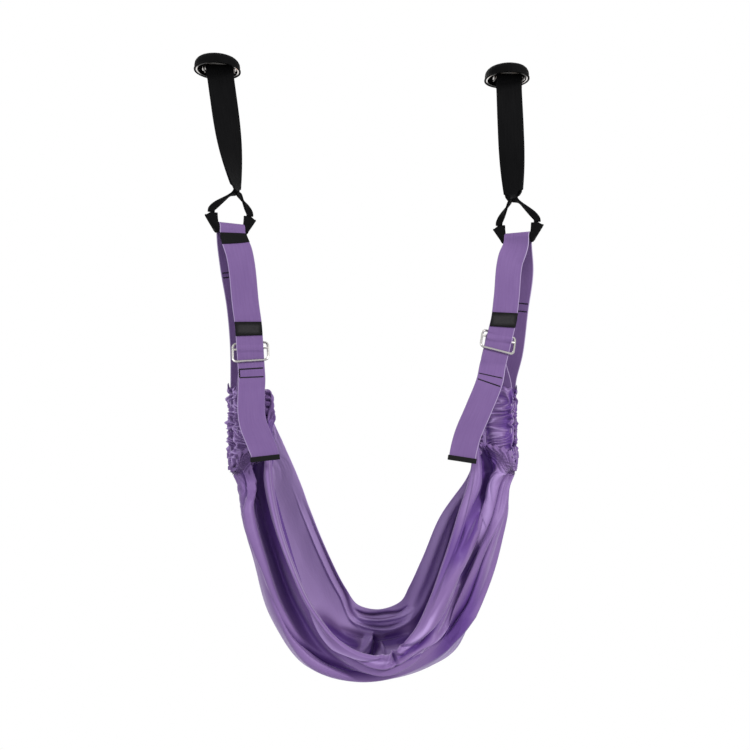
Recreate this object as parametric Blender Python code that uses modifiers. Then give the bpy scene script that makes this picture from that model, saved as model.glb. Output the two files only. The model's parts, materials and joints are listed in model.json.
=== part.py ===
# Hanging yoga inversion strap: two ceiling anchors, two adjustable webbing loops and a cloth sling.
# Units are metres and +Z is up. The origin is on the ceiling plane, midway between the two anchors.

import math
from dataclasses import dataclass

import bmesh
import bpy
from mathutils import Matrix, Vector

# Overall layout
ANCHOR_SPACING = 0.556
SEAT_GAP = 0.0003
FLAT_GAP = 0.0004

# Anchor cup, its liner and its pin bracket
CUP_RADIUS = 0.0425
CUP_HEIGHT = 0.022
CUP_WALL = 0.0022
CUP_TOP = 0.003
CUP_LIP = 0.0012
CUP_FLAT_RADIUS = 0.0280
CUP_SHOULDER = 0.0135
CUP_SHOULDER_STEPS = 5
CAVITY_FLAT_RADIUS = 0.0345
CAVITY_TAPER = 0.0090
LINER_WALL = 0.0014
LINER_HEIGHT = 0.0085
LINER_HEM = 0.0012
BRACKET_PLATE = 0.0025
BRACKET_EAR = 0.0025
BRACKET_DEPTH = 0.020
EAR_DROP = 0.016
PIN_DROP = 0.0160
PIN_RADIUS = 0.004
PIN_HEAD_RADIUS = 0.0058
PIN_HEAD = 0.002
PIN_SPACE = 0.0003
RING_WIDTH = 0.0016
RING_WALL = 0.0020
RIVET_RADIUS = 0.002
RIVET_HEAD_RADIUS = 0.0036
RIVET_HEAD = 0.0014
RIVET_REACH = 0.0065
RIVET_MARGIN = 0.0005
FIXING_HOLE_RADIUS = 0.0026
FIXING_HOLE_REACH = 0.0170

# Black sling webbing
SLING_WIDTH = 0.050
SLING_THICKNESS = 0.0020
SLING_OFFSET = 0.0035
SLING_EAR_SPACE = 0.0016
LEG_WIDTH = 0.0130
NECK_DROP = 0.2425
TWIST_START_DROP = 0.030
PLY_CLOSE_DROP = 0.028
LEG_STEPS = 9
LEG_STUB = 0.0045
LEG_HANDLE = 0.18
LEG_TURN_RATE = 2.5
LEG_NARROW_RATE = 1.8
PLY_STEPS = 15

# Carry bar, its plugs and the sleeves sewn round its ends
BAR_RADIUS = 0.0080
BAR_WALL = 0.0012
BAR_COVER = 0.0045
PLUG_FLANGE = 0.0036
PLUG_SPIGOT = 0.010
SLEEVE_WIDTH = 0.0240
SLEEVE_SPACE = 0.0014
SLEEVE_WALL = 0.0020
SLEEVE_APEX = 0.0170
SLEEVE_FOOT = 0.0036
SLEEVE_CORNER = 0.0080

# Purple webbing
STRAP_WIDTH = 0.050
STRAP_THICKNESS = 0.0022
LABEL_THICKNESS = 0.0008
LABEL_HEIGHT = 0.0205
LABEL_OVERHANG = 0.0008
PATCH_THICKNESS = 0.0016
PATCH_HEIGHT = 0.0285
END_CAP_LENGTH = 0.0095
END_CAP_WALL = 0.0015
END_CAP_COVER = 0.0070

# Slide adjuster bent from wire
WIRE_RADIUS = 0.00225
FRAME_WIDTH = 0.0655
FRAME_HEIGHT = 0.0330
FRAME_CORNER = 0.0065
CENTRE_BAR_SHARE = 0.68
FOLD_FRONT = 0.026
FOLD_REAR = 0.036
FOLD_CLOSE_RATE = 2.2
SEAM_STUB = 0.002
STRAIGHT_STUB = 0.008
BAR_STUB = 0.006
RUN_STEPS = 8

# Casing sewn in the end of the cloth round the loop of webbing
LOOP_HALF_SPACE = 0.0245
LOOP_DROP = 0.120
LOOP_SHARE = 0.998
LOOP_STEPS = 54
CASING_WIDTH = 0.055
CASING_SPACE = 0.0005
CASING_CLOTH = 0.0022
RUFFLE_DEPTH = 0.0030
RUFFLE_PITCH = 0.0170
RUFFLE_BITE = 0.0011

# Hammock cloth
CLOTH_THICKNESS = 0.0020
CLOTH_STEPS_ALONG = 38
CLOTH_STEPS_ACROSS = 24
CLOTH_EDGE_GAP = 0.0014
CLOTH_LEAD_IN = 0.008
CLOTH_LEAD_OUT = 0.006
CLOTH_SLOPE_SHARE = 0.4
CLOTH_END_SHARE = 0.02
UNDER_START = 0.28
UNDER_END = 0.74
UNDER_TURN = 0.14
UNDER_REACH = 1.85
UNDER_DROP = 0.0085
DROP_START = 0.14
DROP_END = 0.86

ROUND_STEPS = 32
PLUG_STEPS = 24
SMALL_STEPS = 12


@dataclass(frozen=True)
class Side:
    """Where one half of the product hangs; the two halves differ a little, as cloth and webbing do."""

    name: str
    anchor_x: float
    bar_x: float
    leg_drop: float
    bar_yaw: float
    neck_x: float
    neck_twist: float
    front_run: tuple
    adjuster_z: float
    tail: tuple
    tail_twist: float
    rear_run: tuple
    casing_x: float
    casing_y: float
    casing_z: float
    casing_yaw: float
    label_z: float
    patch_z: float

    @property
    def bar_z(self):
        """Return the height of the bar's middle, which hangs by its legs below the neck."""
        return -NECK_DROP - self.leg_drop


LEFT = Side(
    name="left",
    anchor_x=-ANCHOR_SPACING / 2,
    bar_x=-0.2530,
    leg_drop=0.0768,
    bar_yaw=math.radians(27),
    neck_x=-0.2435,
    neck_twist=math.radians(78),
    front_run=((-0.2355, -0.0170, -0.3680), (-0.2230, -0.0195, -0.4690), (-0.2175, -0.0200, -0.5110)),
    adjuster_z=-0.5525,
    tail=((-0.2124, -0.0200, -0.5920), (-0.2116, -0.0370, -0.6290), (-0.2085, -0.0470, -0.6810),
          (-0.1930, -0.0540, -0.7210), (-0.1857, -0.0585, -0.7395)),
    tail_twist=math.radians(2),
    rear_run=((-0.2530, 0.0190, -0.3810), (-0.2390, 0.0230, -0.4690), (-0.2330, 0.0280, -0.5480)),
    casing_x=-0.2255,
    casing_y=0.0180,
    casing_z=-0.6190,
    casing_yaw=math.radians(20),
    label_z=-0.3360,
    patch_z=-0.5090,
)

RIGHT = Side(
    name="right",
    anchor_x=ANCHOR_SPACING / 2,
    bar_x=0.3000,
    leg_drop=0.0863,
    bar_yaw=math.radians(-33),
    neck_x=0.2910,
    neck_twist=math.radians(-62),
    front_run=((0.2800, -0.0170, -0.3780), (0.2720, -0.0195, -0.4510), (0.2655, -0.0200, -0.4970)),
    adjuster_z=-0.5325,
    tail=((0.2478, -0.0200, -0.5680), (0.2350, -0.0400, -0.6070), (0.2110, -0.0500, -0.6610),
          (0.1880, -0.0540, -0.7140), (0.1800, -0.0575, -0.7440)),
    tail_twist=math.radians(-2),
    rear_run=((0.3115, 0.0190, -0.3910), (0.3020, 0.0230, -0.4690), (0.2930, 0.0270, -0.5480)),
    casing_x=0.2715,
    casing_y=0.0180,
    casing_z=-0.6230,
    casing_yaw=math.radians(-24),
    label_z=-0.3410,
    patch_z=-0.4900,
)

TAIL_ENDS = {"left": Vector((-0.1845, -0.0595, -0.7500)), "right": Vector((0.1782, -0.0585, -0.7550))}

# Folds of the cloth from its front edge, round below the seat, to its back edge.
# Each runs from the left casing down the left arm, through the seat and up the right arm.
CLOTH_FOLDS = {
    "front_edge": ((-0.186, -0.030, -0.771), (-0.171, -0.056, -0.851), (-0.143, -0.080, -0.931),
                   (-0.100, -0.100, -1.016), (-0.050, -0.114, -1.071), (0.034, -0.120, -1.095),
                   (0.083, -0.112, -1.053), (0.112, -0.098, -1.005), (0.143, -0.080, -0.934),
                   (0.174, -0.056, -0.856), (0.200, -0.032, -0.789)),
    "front_roll": ((-0.190, -0.012, -0.781), (-0.177, -0.030, -0.854), (-0.150, -0.052, -0.935),
                   (-0.108, -0.074, -1.024), (-0.057, -0.095, -1.088), (0.030, -0.122, -1.115),
                   (0.112, -0.113, -1.059), (0.138, -0.102, -1.007), (0.164, -0.084, -0.933),
                   (0.193, -0.061, -0.855), (0.216, -0.036, -0.785)),
    "valley": ((-0.203, 0.006, -0.785), (-0.193, 0.004, -0.859), (-0.168, -0.008, -0.941),
               (-0.130, -0.028, -1.033), (-0.077, -0.060, -1.104), (0.028, -0.092, -1.133),
               (0.132, -0.078, -1.081), (0.166, -0.060, -1.021), (0.194, -0.043, -0.944),
               (0.223, -0.027, -0.862), (0.242, -0.008, -0.789)),
    "outer_strip": ((-0.226, -0.016, -0.783), (-0.216, -0.036, -0.855), (-0.191, -0.053, -0.935),
                    (-0.157, -0.068, -1.031), (-0.100, -0.080, -1.113), (0.020, -0.074, -1.153),
                    (0.155, -0.083, -1.093), (0.184, -0.074, -1.023), (0.212, -0.061, -0.941),
                    (0.238, -0.043, -0.860), (0.258, -0.022, -0.787)),
    "keel": ((-0.243, 0.012, -0.787), (-0.233, 0.006, -0.862), (-0.210, 0.000, -0.947),
             (-0.179, -0.008, -1.049), (-0.120, -0.010, -1.133), (0.005, -0.005, -1.181),
             (0.188, -0.008, -1.125), (0.221, -0.004, -1.043), (0.253, 0.002, -0.956),
             (0.276, 0.008, -0.870), (0.290, 0.014, -0.793)),
    "under_fold": ((-0.221, 0.040, -0.791), (-0.209, 0.045, -0.870), (-0.182, 0.050, -0.959),
                   (-0.143, 0.055, -1.060), (-0.078, 0.060, -1.131), (0.028, 0.066, -1.163),
                   (0.157, 0.060, -1.127), (0.200, 0.055, -1.048), (0.232, 0.050, -0.957),
                   (0.256, 0.046, -0.877), (0.276, 0.042, -0.796)),
    "back_wall": ((-0.184, 0.048, -0.792), (-0.159, 0.060, -0.873), (-0.120, 0.075, -0.967),
                  (-0.070, 0.095, -1.054), (-0.030, 0.108, -1.109), (0.040, 0.112, -1.131),
                  (0.126, 0.104, -1.093), (0.160, 0.092, -1.036), (0.182, 0.075, -0.962),
                  (0.204, 0.060, -0.878), (0.246, 0.050, -0.797)),
    "back_edge": ((-0.128, 0.032, -0.792), (-0.100, 0.046, -0.871), (-0.062, 0.070, -0.967),
                  (-0.030, 0.098, -1.034), (-0.004, 0.120, -1.073), (0.041, 0.130, -1.086),
                  (0.082, 0.121, -1.069), (0.099, 0.099, -1.031), (0.121, 0.075, -0.971),
                  (0.155, 0.050, -0.878), (0.213, 0.036, -0.785)),
}


def clear_scene():
    """Remove every object of the file that the script starts in."""
    for obj in list(bpy.data.objects):
        bpy.data.objects.remove(obj, do_unlink=True)


def new_collection(name):
    """Make a collection in the scene."""
    collection = bpy.data.collections.new(name)
    bpy.context.scene.collection.children.link(collection)
    return collection


def new_material(name, colour, roughness, metallic=0.0):
    """Make a Principled material of one colour."""
    material = bpy.data.materials.new(name)
    material.use_nodes = True
    shader = material.node_tree.nodes["Principled BSDF"]
    shader.inputs["Base Color"].default_value = (*colour, 1.0)
    shader.inputs["Roughness"].default_value = roughness
    shader.inputs["Metallic"].default_value = metallic
    material.diffuse_color = (*colour, 1.0)
    return material


def add_object(name, data, material, collection):
    """Link a mesh or a curve as a named object with its material."""
    obj = bpy.data.objects.new(name, data)
    data.materials.append(material)
    collection.objects.link(obj)
    return obj


def shade(mesh, angle=35):
    """Shade a mesh smooth, but for its sharp edges."""
    mesh.shade_smooth()
    mesh.set_sharp_from_angle(angle=math.radians(angle))


class SmoothCurve:
    """A curve through points, whose slope at each is weighed by the spans beside it, so it never overshoots."""

    def __init__(self, points):
        self.points = [Vector(point) for point in points]
        self.spans = [(end - start).length for start, end in zip(self.points, self.points[1:])]
        legs = [(end - start) / span for start, end, span in zip(self.points, self.points[1:], self.spans)]
        self.slopes = [legs[0]]
        for index in range(1, len(legs)):
            near, far = self.spans[index - 1], self.spans[index]
            self.slopes.append((legs[index - 1] * far + legs[index] * near) / (near + far))
        self.slopes.append(legs[-1])

    def at(self, place):
        """Return the point at a place counted in spans from the start."""
        index = min(int(place), len(self.spans) - 1)
        t = place - index
        span = self.spans[index]
        start, end = self.points[index], self.points[index + 1]
        return (start * (2 * t ** 3 - 3 * t ** 2 + 1) + self.slopes[index] * span * (t ** 3 - 2 * t ** 2 + t)
                + end * (3 * t ** 2 - 2 * t ** 3) + self.slopes[index + 1] * span * (t ** 3 - t ** 2))

    def share(self, share):
        """Return the point at a share of the number of spans."""
        return self.at(share * len(self.spans))


def smooth_path(points, steps):
    """Return points along a smooth curve through the given ones, with steps stretches in each span."""
    curve = SmoothCurve(points)
    return [curve.at(index / steps) for index in range(len(curve.spans) * steps + 1)]


def bezier_path(start, leaving, arriving, end, steps):
    """Return points along one cubic curve, set by its ends and its two handles."""
    path = []
    for step in range(steps + 1):
        t = step / steps
        path.append(start * (1 - t) ** 3 + leaving * 3 * t * (1 - t) ** 2 + arriving * 3 * t * t * (1 - t)
                    + end * t ** 3)
    return path


def tangents(path):
    """Return the direction of a path at each of its points."""
    last = len(path) - 1
    return [(path[min(i + 1, last)] - path[max(i - 1, 0)]).normalized() for i in range(last + 1)]


def yaw_vector(angle):
    """Return the level direction at an angle from +X."""
    return Vector((math.cos(angle), math.sin(angle), 0.0))


def front_vector(angle):
    """Return the level direction that a strap of this yaw faces, towards the viewer."""
    return Vector((math.sin(angle), -math.cos(angle), 0.0))


def ease(value):
    """Blend from 0 to 1 with no corner at either end."""
    value = min(max(value, 0.0), 1.0)
    return value * value * (3 - 2 * value)


def strip_frames(path, guides):
    """Return the across and face directions of a strip at each point, from a guide for its width."""
    frames = []
    for point, along, guide in zip(path, tangents(path), guides):
        across = (guide - along * guide.dot(along)).normalized()
        frames.append((point, across, along.cross(across).normalized()))
    return frames


def strip_object(name, frames, widths, thickness, material, collection):
    """Make a strip of webbing: a ribbon along its frames, thickened evenly to both faces."""
    mesh = bpy.data.meshes.new(name)
    shape = bmesh.new()
    rows = []
    for (point, across, _), width in zip(frames, widths):
        rows.append([shape.verts.new(point + across * width * side) for side in (-0.5, 0.5)])
    for upper, lower in zip(rows, rows[1:]):
        shape.faces.new((upper[0], upper[1], lower[1], lower[0]))
    shape.to_mesh(mesh)
    shape.free()
    obj = add_object(name, mesh, material, collection)
    solid = obj.modifiers.new("thickness", "SOLIDIFY")
    solid.thickness = thickness
    solid.offset = 0.0
    shade(mesh, 50)
    return obj


def turned_object(name, profile, matrix, steps, material, collection):
    """Turn a closed profile of (radius, height) points about local Z and place it."""
    mesh = bpy.data.meshes.new(name)
    shape = bmesh.new()
    verts = [shape.verts.new((radius, 0.0, height)) for radius, height in profile]
    closed = all(radius > 0 for radius, _ in profile)
    pairs = list(zip(verts, verts[1:]))
    if closed:
        pairs.append((verts[-1], verts[0]))
    for start, end in pairs:
        shape.edges.new((start, end))
    shape.to_mesh(mesh)
    shape.free()
    obj = add_object(name, mesh, material, collection)
    obj.matrix_world = matrix
    screw = obj.modifiers.new("turn", "SCREW")
    screw.axis = "Z"
    screw.steps = steps
    screw.render_steps = steps
    screw.use_merge_vertices = True
    screw.merge_threshold = 0.00001
    screw.use_smooth_shade = False
    return obj


def box_object(name, centre, size, matrix, material, collection):
    """Make a box of the given size about a local centre, placed by a matrix."""
    mesh = bpy.data.meshes.new(name)
    shape = bmesh.new()
    bmesh.ops.create_cube(shape, size=1.0)
    bmesh.ops.scale(shape, vec=Vector(size), verts=shape.verts)
    bmesh.ops.translate(shape, vec=Vector(centre), verts=shape.verts)
    shape.to_mesh(mesh)
    shape.free()
    obj = add_object(name, mesh, material, collection)
    obj.matrix_world = matrix
    return obj


def drill_object(name, radius, start, end, collection):
    """Make a round cutter between two points."""
    axis = end - start
    mesh = bpy.data.meshes.new(name)
    shape = bmesh.new()
    bmesh.ops.create_cone(shape, cap_ends=True, segments=SMALL_STEPS, radius1=radius, radius2=radius,
                          depth=axis.length)
    shape.to_mesh(mesh)
    shape.free()
    obj = bpy.data.objects.new(name, mesh)
    collection.objects.link(obj)
    obj.matrix_world = (Matrix.Translation((start + end) / 2)
                        @ axis.to_track_quat("Z", "Y").to_matrix().to_4x4())
    hide_tool(obj)
    return obj


def mesh_from_curve(name, curve, collection):
    """Turn a curve into a mesh with its doubled points joined."""
    guide = bpy.data.objects.new(name + "_guide", curve)
    collection.objects.link(guide)
    bpy.context.view_layer.update()
    graph = bpy.context.evaluated_depsgraph_get()
    mesh = bpy.data.meshes.new_from_object(guide.evaluated_get(graph))
    bpy.data.objects.remove(guide, do_unlink=True)
    mesh.materials.clear()
    shape = bmesh.new()
    shape.from_mesh(mesh)
    bmesh.ops.remove_doubles(shape, verts=shape.verts, dist=0.00001)
    shape.to_mesh(mesh)
    shape.free()
    return mesh


def hide_tool(obj):
    """Mark a cutter, so that it is seen as a wire and never rendered."""
    obj.hide_render = True
    obj.display_type = "WIRE"


def combine(obj, tool, operation):
    """Add an exact Boolean to an object."""
    boolean = obj.modifiers.new(operation.lower(), "BOOLEAN")
    boolean.operation = operation
    boolean.solver = "EXACT"
    boolean.object = tool


def bevel(obj, width, segments=2):
    """Round an object's edges."""
    rounding = obj.modifiers.new("rounding", "BEVEL")
    rounding.width = width
    rounding.segments = segments
    rounding.limit_method = "ANGLE"
    rounding.angle_limit = math.radians(40)


class Anchor:
    """A round ceiling cup with a plated liner, and the riveted bracket that holds the cross pin."""

    def __init__(self, side, parts, cutters, finishes):
        self.side = side
        self.parts = parts
        self.cutters = cutters
        self.finishes = finishes
        self.place = Matrix.Translation((side.anchor_x, 0.0, 0.0))
        self.inner_radius = CUP_RADIUS - CUP_WALL
        self.sling_x = side.anchor_x + SLING_OFFSET
        self.ear_space = SLING_WIDTH / 2 + SLING_EAR_SPACE
        self.ear_low = self.sling_x - self.ear_space - BRACKET_EAR
        self.ear_high = self.sling_x + self.ear_space + BRACKET_EAR
        self.rivet_y = BRACKET_DEPTH / 2 - RIVET_HEAD_RADIUS - RIVET_MARGIN

    def named(self, name):
        """Give a piece the name of its side."""
        return f"{self.side.name}_{name}"

    def rivet_points(self):
        """Return where the two rivets pass through the bracket and the cup."""
        return [Vector((self.sling_x + offset, -self.rivet_y, 0.0)) for offset in (-RIVET_REACH, RIVET_REACH)]

    def build_cup(self):
        """Turn the cup and drill its rivet and fixing holes."""
        lip = CUP_RADIUS + CUP_LIP
        turns = [math.pi / 2 * step / CUP_SHOULDER_STEPS for step in range(CUP_SHOULDER_STEPS + 1)]
        shoulder = [(CUP_FLAT_RADIUS + (CUP_RADIUS - CUP_FLAT_RADIUS) * math.sin(turn),
                     -CUP_SHOULDER * (1 - math.cos(turn))) for turn in turns]
        rim = [
            (CUP_RADIUS, -CUP_HEIGHT + 0.0030),
            (lip, -CUP_HEIGHT + 0.0015),
            (lip, -CUP_HEIGHT),
            (self.inner_radius, -CUP_HEIGHT),
        ]
        cavity = [
            (self.inner_radius, -CUP_TOP - CAVITY_TAPER),
            ((self.inner_radius + CAVITY_FLAT_RADIUS) / 2, -CUP_TOP - CAVITY_TAPER / 3),
            (CAVITY_FLAT_RADIUS, -CUP_TOP),
        ]
        profile = shoulder + rim + cavity
        cup = turned_object(self.named("anchor_cup"), [(0.0, 0.0)] + profile + [(0.0, -CUP_TOP)], self.place,
                            ROUND_STEPS, self.finishes["black_metal"], self.parts)
        cuts = [(point, RIVET_RADIUS + SEAT_GAP) for point in self.rivet_points()]
        for reach in (-FIXING_HOLE_REACH, FIXING_HOLE_REACH):
            cuts.append((Vector((self.side.anchor_x, reach, 0.0)), FIXING_HOLE_RADIUS))
        for index, (point, radius) in enumerate(cuts):
            tool = drill_object(self.named(f"cup_drill_{index}"), radius, point + Vector((0, 0, 0.004)),
                                point - Vector((0, 0, CUP_TOP + 0.004)), self.cutters)
            combine(cup, tool, "DIFFERENCE")

    def build_liner(self):
        """Turn the bright ring inside the cup's wall, with its lower edge rolled in."""
        outer = self.inner_radius - SEAT_GAP
        bottom = -CUP_HEIGHT + 0.0006
        top = bottom + LINER_HEIGHT
        profile = [
            (outer, top),
            (outer, bottom),
            (outer - LINER_WALL - LINER_HEM, bottom),
            (outer - LINER_WALL - LINER_HEM, bottom + 0.0010),
            (outer - LINER_WALL, bottom + 0.0022),
            (outer - LINER_WALL, top),
        ]
        turned_object(self.named("anchor_liner"), profile, self.place, ROUND_STEPS,
                      self.finishes["bright_metal"], self.parts)

    def build_bracket(self):
        """Bend a plate with two ears, drilled for the pin and the rivets."""
        top = -CUP_TOP - SEAT_GAP
        low = top - BRACKET_PLATE - EAR_DROP
        centre_x = (self.ear_low + self.ear_high) / 2
        width = self.ear_high - self.ear_low
        bracket = box_object(self.named("pin_bracket"), (centre_x, 0.0, (top + low) / 2),
                             (width, BRACKET_DEPTH, top - low), Matrix.Identity(4),
                             self.finishes["bright_metal"], self.parts)
        floor = top - BRACKET_PLATE
        slot = box_object(self.named("bracket_slot"), (centre_x, 0.0, (floor + low - 0.01) / 2),
                          (width - 2 * BRACKET_EAR, BRACKET_DEPTH * 2, floor - low + 0.01), Matrix.Identity(4),
                          self.finishes["bright_metal"], self.cutters)
        hide_tool(slot)
        combine(bracket, slot, "DIFFERENCE")
        pin_hole = drill_object(self.named("pin_drill"), PIN_RADIUS + PIN_SPACE,
                                Vector((self.ear_low - 0.01, 0.0, -PIN_DROP)),
                                Vector((self.ear_high + 0.01, 0.0, -PIN_DROP)), self.cutters)
        combine(bracket, pin_hole, "DIFFERENCE")
        for index, point in enumerate(self.rivet_points()):
            tool = drill_object(self.named(f"bracket_drill_{index}"), RIVET_RADIUS + SEAT_GAP,
                                point + Vector((0, 0, top + 0.004)), point + Vector((0, 0, floor - 0.004)),
                                self.cutters)
            combine(bracket, tool, "DIFFERENCE")

    def build_rivets(self):
        """Turn the rivets: domed heads under the bracket and shanks that end flush with the cup's top."""
        floor = -CUP_TOP - SEAT_GAP - BRACKET_PLATE - SEAT_GAP
        profile = [
            (0.0, -SEAT_GAP),
            (RIVET_RADIUS, -SEAT_GAP),
            (RIVET_RADIUS, floor),
            (RIVET_HEAD_RADIUS, floor),
            (RIVET_HEAD_RADIUS * 0.85, floor - RIVET_HEAD * 0.7),
            (RIVET_HEAD_RADIUS * 0.45, floor - RIVET_HEAD),
            (0.0, floor - RIVET_HEAD),
        ]
        for label, point in zip("ab", self.rivet_points()):
            turned_object(self.named(f"bracket_rivet_{label}"), profile, Matrix.Translation(point),
                          SMALL_STEPS, self.finishes["bright_metal"], self.parts)

    def build_pin(self):
        """Turn the headed cross pin and the ring that keeps it in the ears."""
        head_end = self.ear_low - SEAT_GAP
        ring_start = self.ear_high + SEAT_GAP
        tip = ring_start + RING_WIDTH + 0.0014
        groove = PIN_RADIUS - 0.0008
        profile = [
            (0.0, tip),
            (PIN_RADIUS - 0.0006, tip),
            (PIN_RADIUS, tip - 0.0006),
            (PIN_RADIUS, ring_start + RING_WIDTH + SEAT_GAP),
            (groove, ring_start + RING_WIDTH + SEAT_GAP),
            (groove, ring_start - SEAT_GAP * 0.5),
            (PIN_RADIUS, ring_start - SEAT_GAP * 0.5),
            (PIN_RADIUS, head_end),
            (PIN_HEAD_RADIUS, head_end),
            (PIN_HEAD_RADIUS, head_end - PIN_HEAD + 0.0005),
            (PIN_HEAD_RADIUS - 0.0005, head_end - PIN_HEAD),
            (0.0, head_end - PIN_HEAD),
        ]
        along_x = Matrix.Translation((0.0, 0.0, -PIN_DROP)) @ Matrix.Rotation(math.pi / 2, 4, "Y")
        turned_object(self.named("cross_pin"), profile, along_x, SMALL_STEPS, self.finishes["bright_metal"],
                      self.parts)
        inner = groove + SEAT_GAP
        ring = [
            (inner + RING_WALL, ring_start + RING_WIDTH),
            (inner + RING_WALL, ring_start),
            (inner, ring_start),
            (inner, ring_start + RING_WIDTH),
        ]
        turned_object(self.named("pin_ring"), ring, along_x, SMALL_STEPS, self.finishes["bright_metal"],
                      self.parts)

    def build(self):
        """Build the anchor's pieces in order."""
        self.build_cup()
        self.build_liner()
        self.build_bracket()
        self.build_rivets()
        self.build_pin()


class Suspension:
    """The twisted black sling, the carry bar that hangs in it and the sewn sleeves."""

    def __init__(self, side, anchor):
        self.side = side
        self.anchor = anchor
        self.parts = anchor.parts
        self.finishes = anchor.finishes
        self.bar_centre = Vector((side.bar_x, 0.0, side.bar_z))
        self.bar_along = yaw_vector(side.bar_yaw)
        self.loop_radius = PIN_RADIUS + 2 * SEAT_GAP + SLING_THICKNESS / 2
        self.ply_offset = SLING_THICKNESS / 2 + FLAT_GAP
        self.sleeve_reach = STRAP_WIDTH / 2 + SLEEVE_SPACE + SLEEVE_WIDTH / 2
        self.bar_half = STRAP_WIDTH / 2 + SLEEVE_SPACE + BAR_COVER
        self.sleeve_top = BAR_RADIUS + SEAT_GAP + SLEEVE_WALL + SLEEVE_APEX

    def ply(self, face):
        """Return points, twists and widths of one ply from the pin down to its sleeve; face is -1 or 1."""
        side = self.side
        points, twists, widths = [], [], []
        start = Vector((self.anchor.sling_x, 0.0, -PIN_DROP))
        neck = Vector((side.neck_x, 0.0, -NECK_DROP))
        for step in range(PLY_STEPS + 1):
            part = step / PLY_STEPS
            centre = start.lerp(neck, part)
            turn = ease((-centre.z - TWIST_START_DROP) / (NECK_DROP - TWIST_START_DROP) / 2) * 2
            twist = side.neck_twist * min(turn, 1.0)
            narrowing = ease((-PIN_DROP - centre.z) / PLY_CLOSE_DROP)
            offset = self.loop_radius + (self.ply_offset - self.loop_radius) * narrowing
            points.append(centre - front_vector(twist) * offset * face)
            twists.append(twist)
            widths.append(SLING_WIDTH)
        up = Vector((0.0, 0.0, 1.0))
        leg_end = self.bar_centre + self.bar_along * self.hand(face) * self.sleeve_reach
        leg_end += up * (self.sleeve_top + SEAT_GAP)
        leg_start = points[-1]
        leg_foot = leg_end + up * LEG_STUB
        handle = (leg_start - leg_foot).length * LEG_HANDLE
        rising = ((leg_start - leg_foot).normalized() + up).normalized()
        curve = bezier_path(leg_start, leg_start - up * handle, leg_foot + rising * handle, leg_foot, LEG_STEPS)
        quarter = math.copysign(math.pi / 2, side.neck_twist)
        square_twist = side.bar_yaw + quarter
        for step, point in enumerate(curve[1:] + [leg_end], start=1):
            part = min(step / LEG_STEPS, 1.0)
            points.append(point)
            settled = side.neck_twist + (square_twist - side.neck_twist) * ease(part * LEG_TURN_RATE)
            twists.append(settled - quarter * ease((part - 0.2) / 0.8))
            widths.append(SLING_WIDTH + (LEG_WIDTH - SLING_WIDTH) * ease(part * LEG_NARROW_RATE))
        return points, twists, widths

    def hand(self, face):
        """Return which end of the bar a ply goes to: 1 towards +X."""
        normal = -front_vector(self.side.neck_twist) * face
        return 1 if normal.dot(self.bar_along) > 0 else -1

    def build_sling(self):
        """Make the sling: up one ply, over the pin and down the other."""
        front_points, front_twists, front_widths = self.ply(-1)
        rear_points, rear_twists, rear_widths = self.ply(1)
        start = Vector((self.anchor.sling_x, 0.0, -PIN_DROP))
        arc = []
        arc_steps = 8
        for step in range(1, arc_steps):
            angle = math.pi * step / arc_steps
            arc.append(start + Vector((0.0, -math.cos(angle), math.sin(angle))) * self.loop_radius)
        points = front_points[::-1] + arc + rear_points
        twists = front_twists[::-1] + [0.0] * len(arc) + rear_twists
        widths = front_widths[::-1] + [SLING_WIDTH] * len(arc) + rear_widths
        guides = [yaw_vector(twist) for twist in twists]
        strip_object(f"{self.side.name}_sling_strap", strip_frames(points, guides), widths, SLING_THICKNESS,
                     self.finishes["black_webbing"], self.parts)

    def bar_matrix(self, reach):
        """Return the place of something turned about the bar, at a reach along it."""
        place = Matrix.Translation(self.bar_centre + self.bar_along * reach)
        return place @ self.bar_along.to_track_quat("Z", "Y").to_matrix().to_4x4()

    def build_bar(self):
        """Turn the tube and its two end plugs."""
        half = self.bar_half
        inner = BAR_RADIUS - BAR_WALL
        tube = [(BAR_RADIUS, half), (BAR_RADIUS, -half), (inner, -half), (inner, half)]
        name = self.side.name
        turned_object(f"{name}_carry_bar", tube, self.bar_matrix(0.0), ROUND_STEPS,
                      self.finishes["bar_metal"], self.parts)
        flange = half + SEAT_GAP
        spigot = inner - SEAT_GAP
        plug = [
            (0.0, flange + PLUG_FLANGE),
            (BAR_RADIUS * 0.45, flange + PLUG_FLANGE),
            (BAR_RADIUS * 0.85, flange + PLUG_FLANGE * 0.6),
            (BAR_RADIUS - 0.0002, flange + PLUG_FLANGE * 0.2),
            (BAR_RADIUS - 0.0002, flange),
            (spigot, flange),
            (spigot, half - PLUG_SPIGOT + 0.001),
            (spigot - 0.001, half - PLUG_SPIGOT),
            (0.0, half - PLUG_SPIGOT),
        ]
        outer_hand = math.copysign(1.0, self.side.anchor_x)
        for label, hand in (("outer", outer_hand), ("inner", -outer_hand)):
            matrix = self.bar_matrix(0.0)
            if hand < 0:
                matrix = matrix @ Matrix.Rotation(math.pi, 4, "X")
            turned_object(f"{name}_bar_plug_{label}", plug, matrix, PLUG_STEPS, self.finishes["black_plastic"],
                          self.parts)

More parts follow.
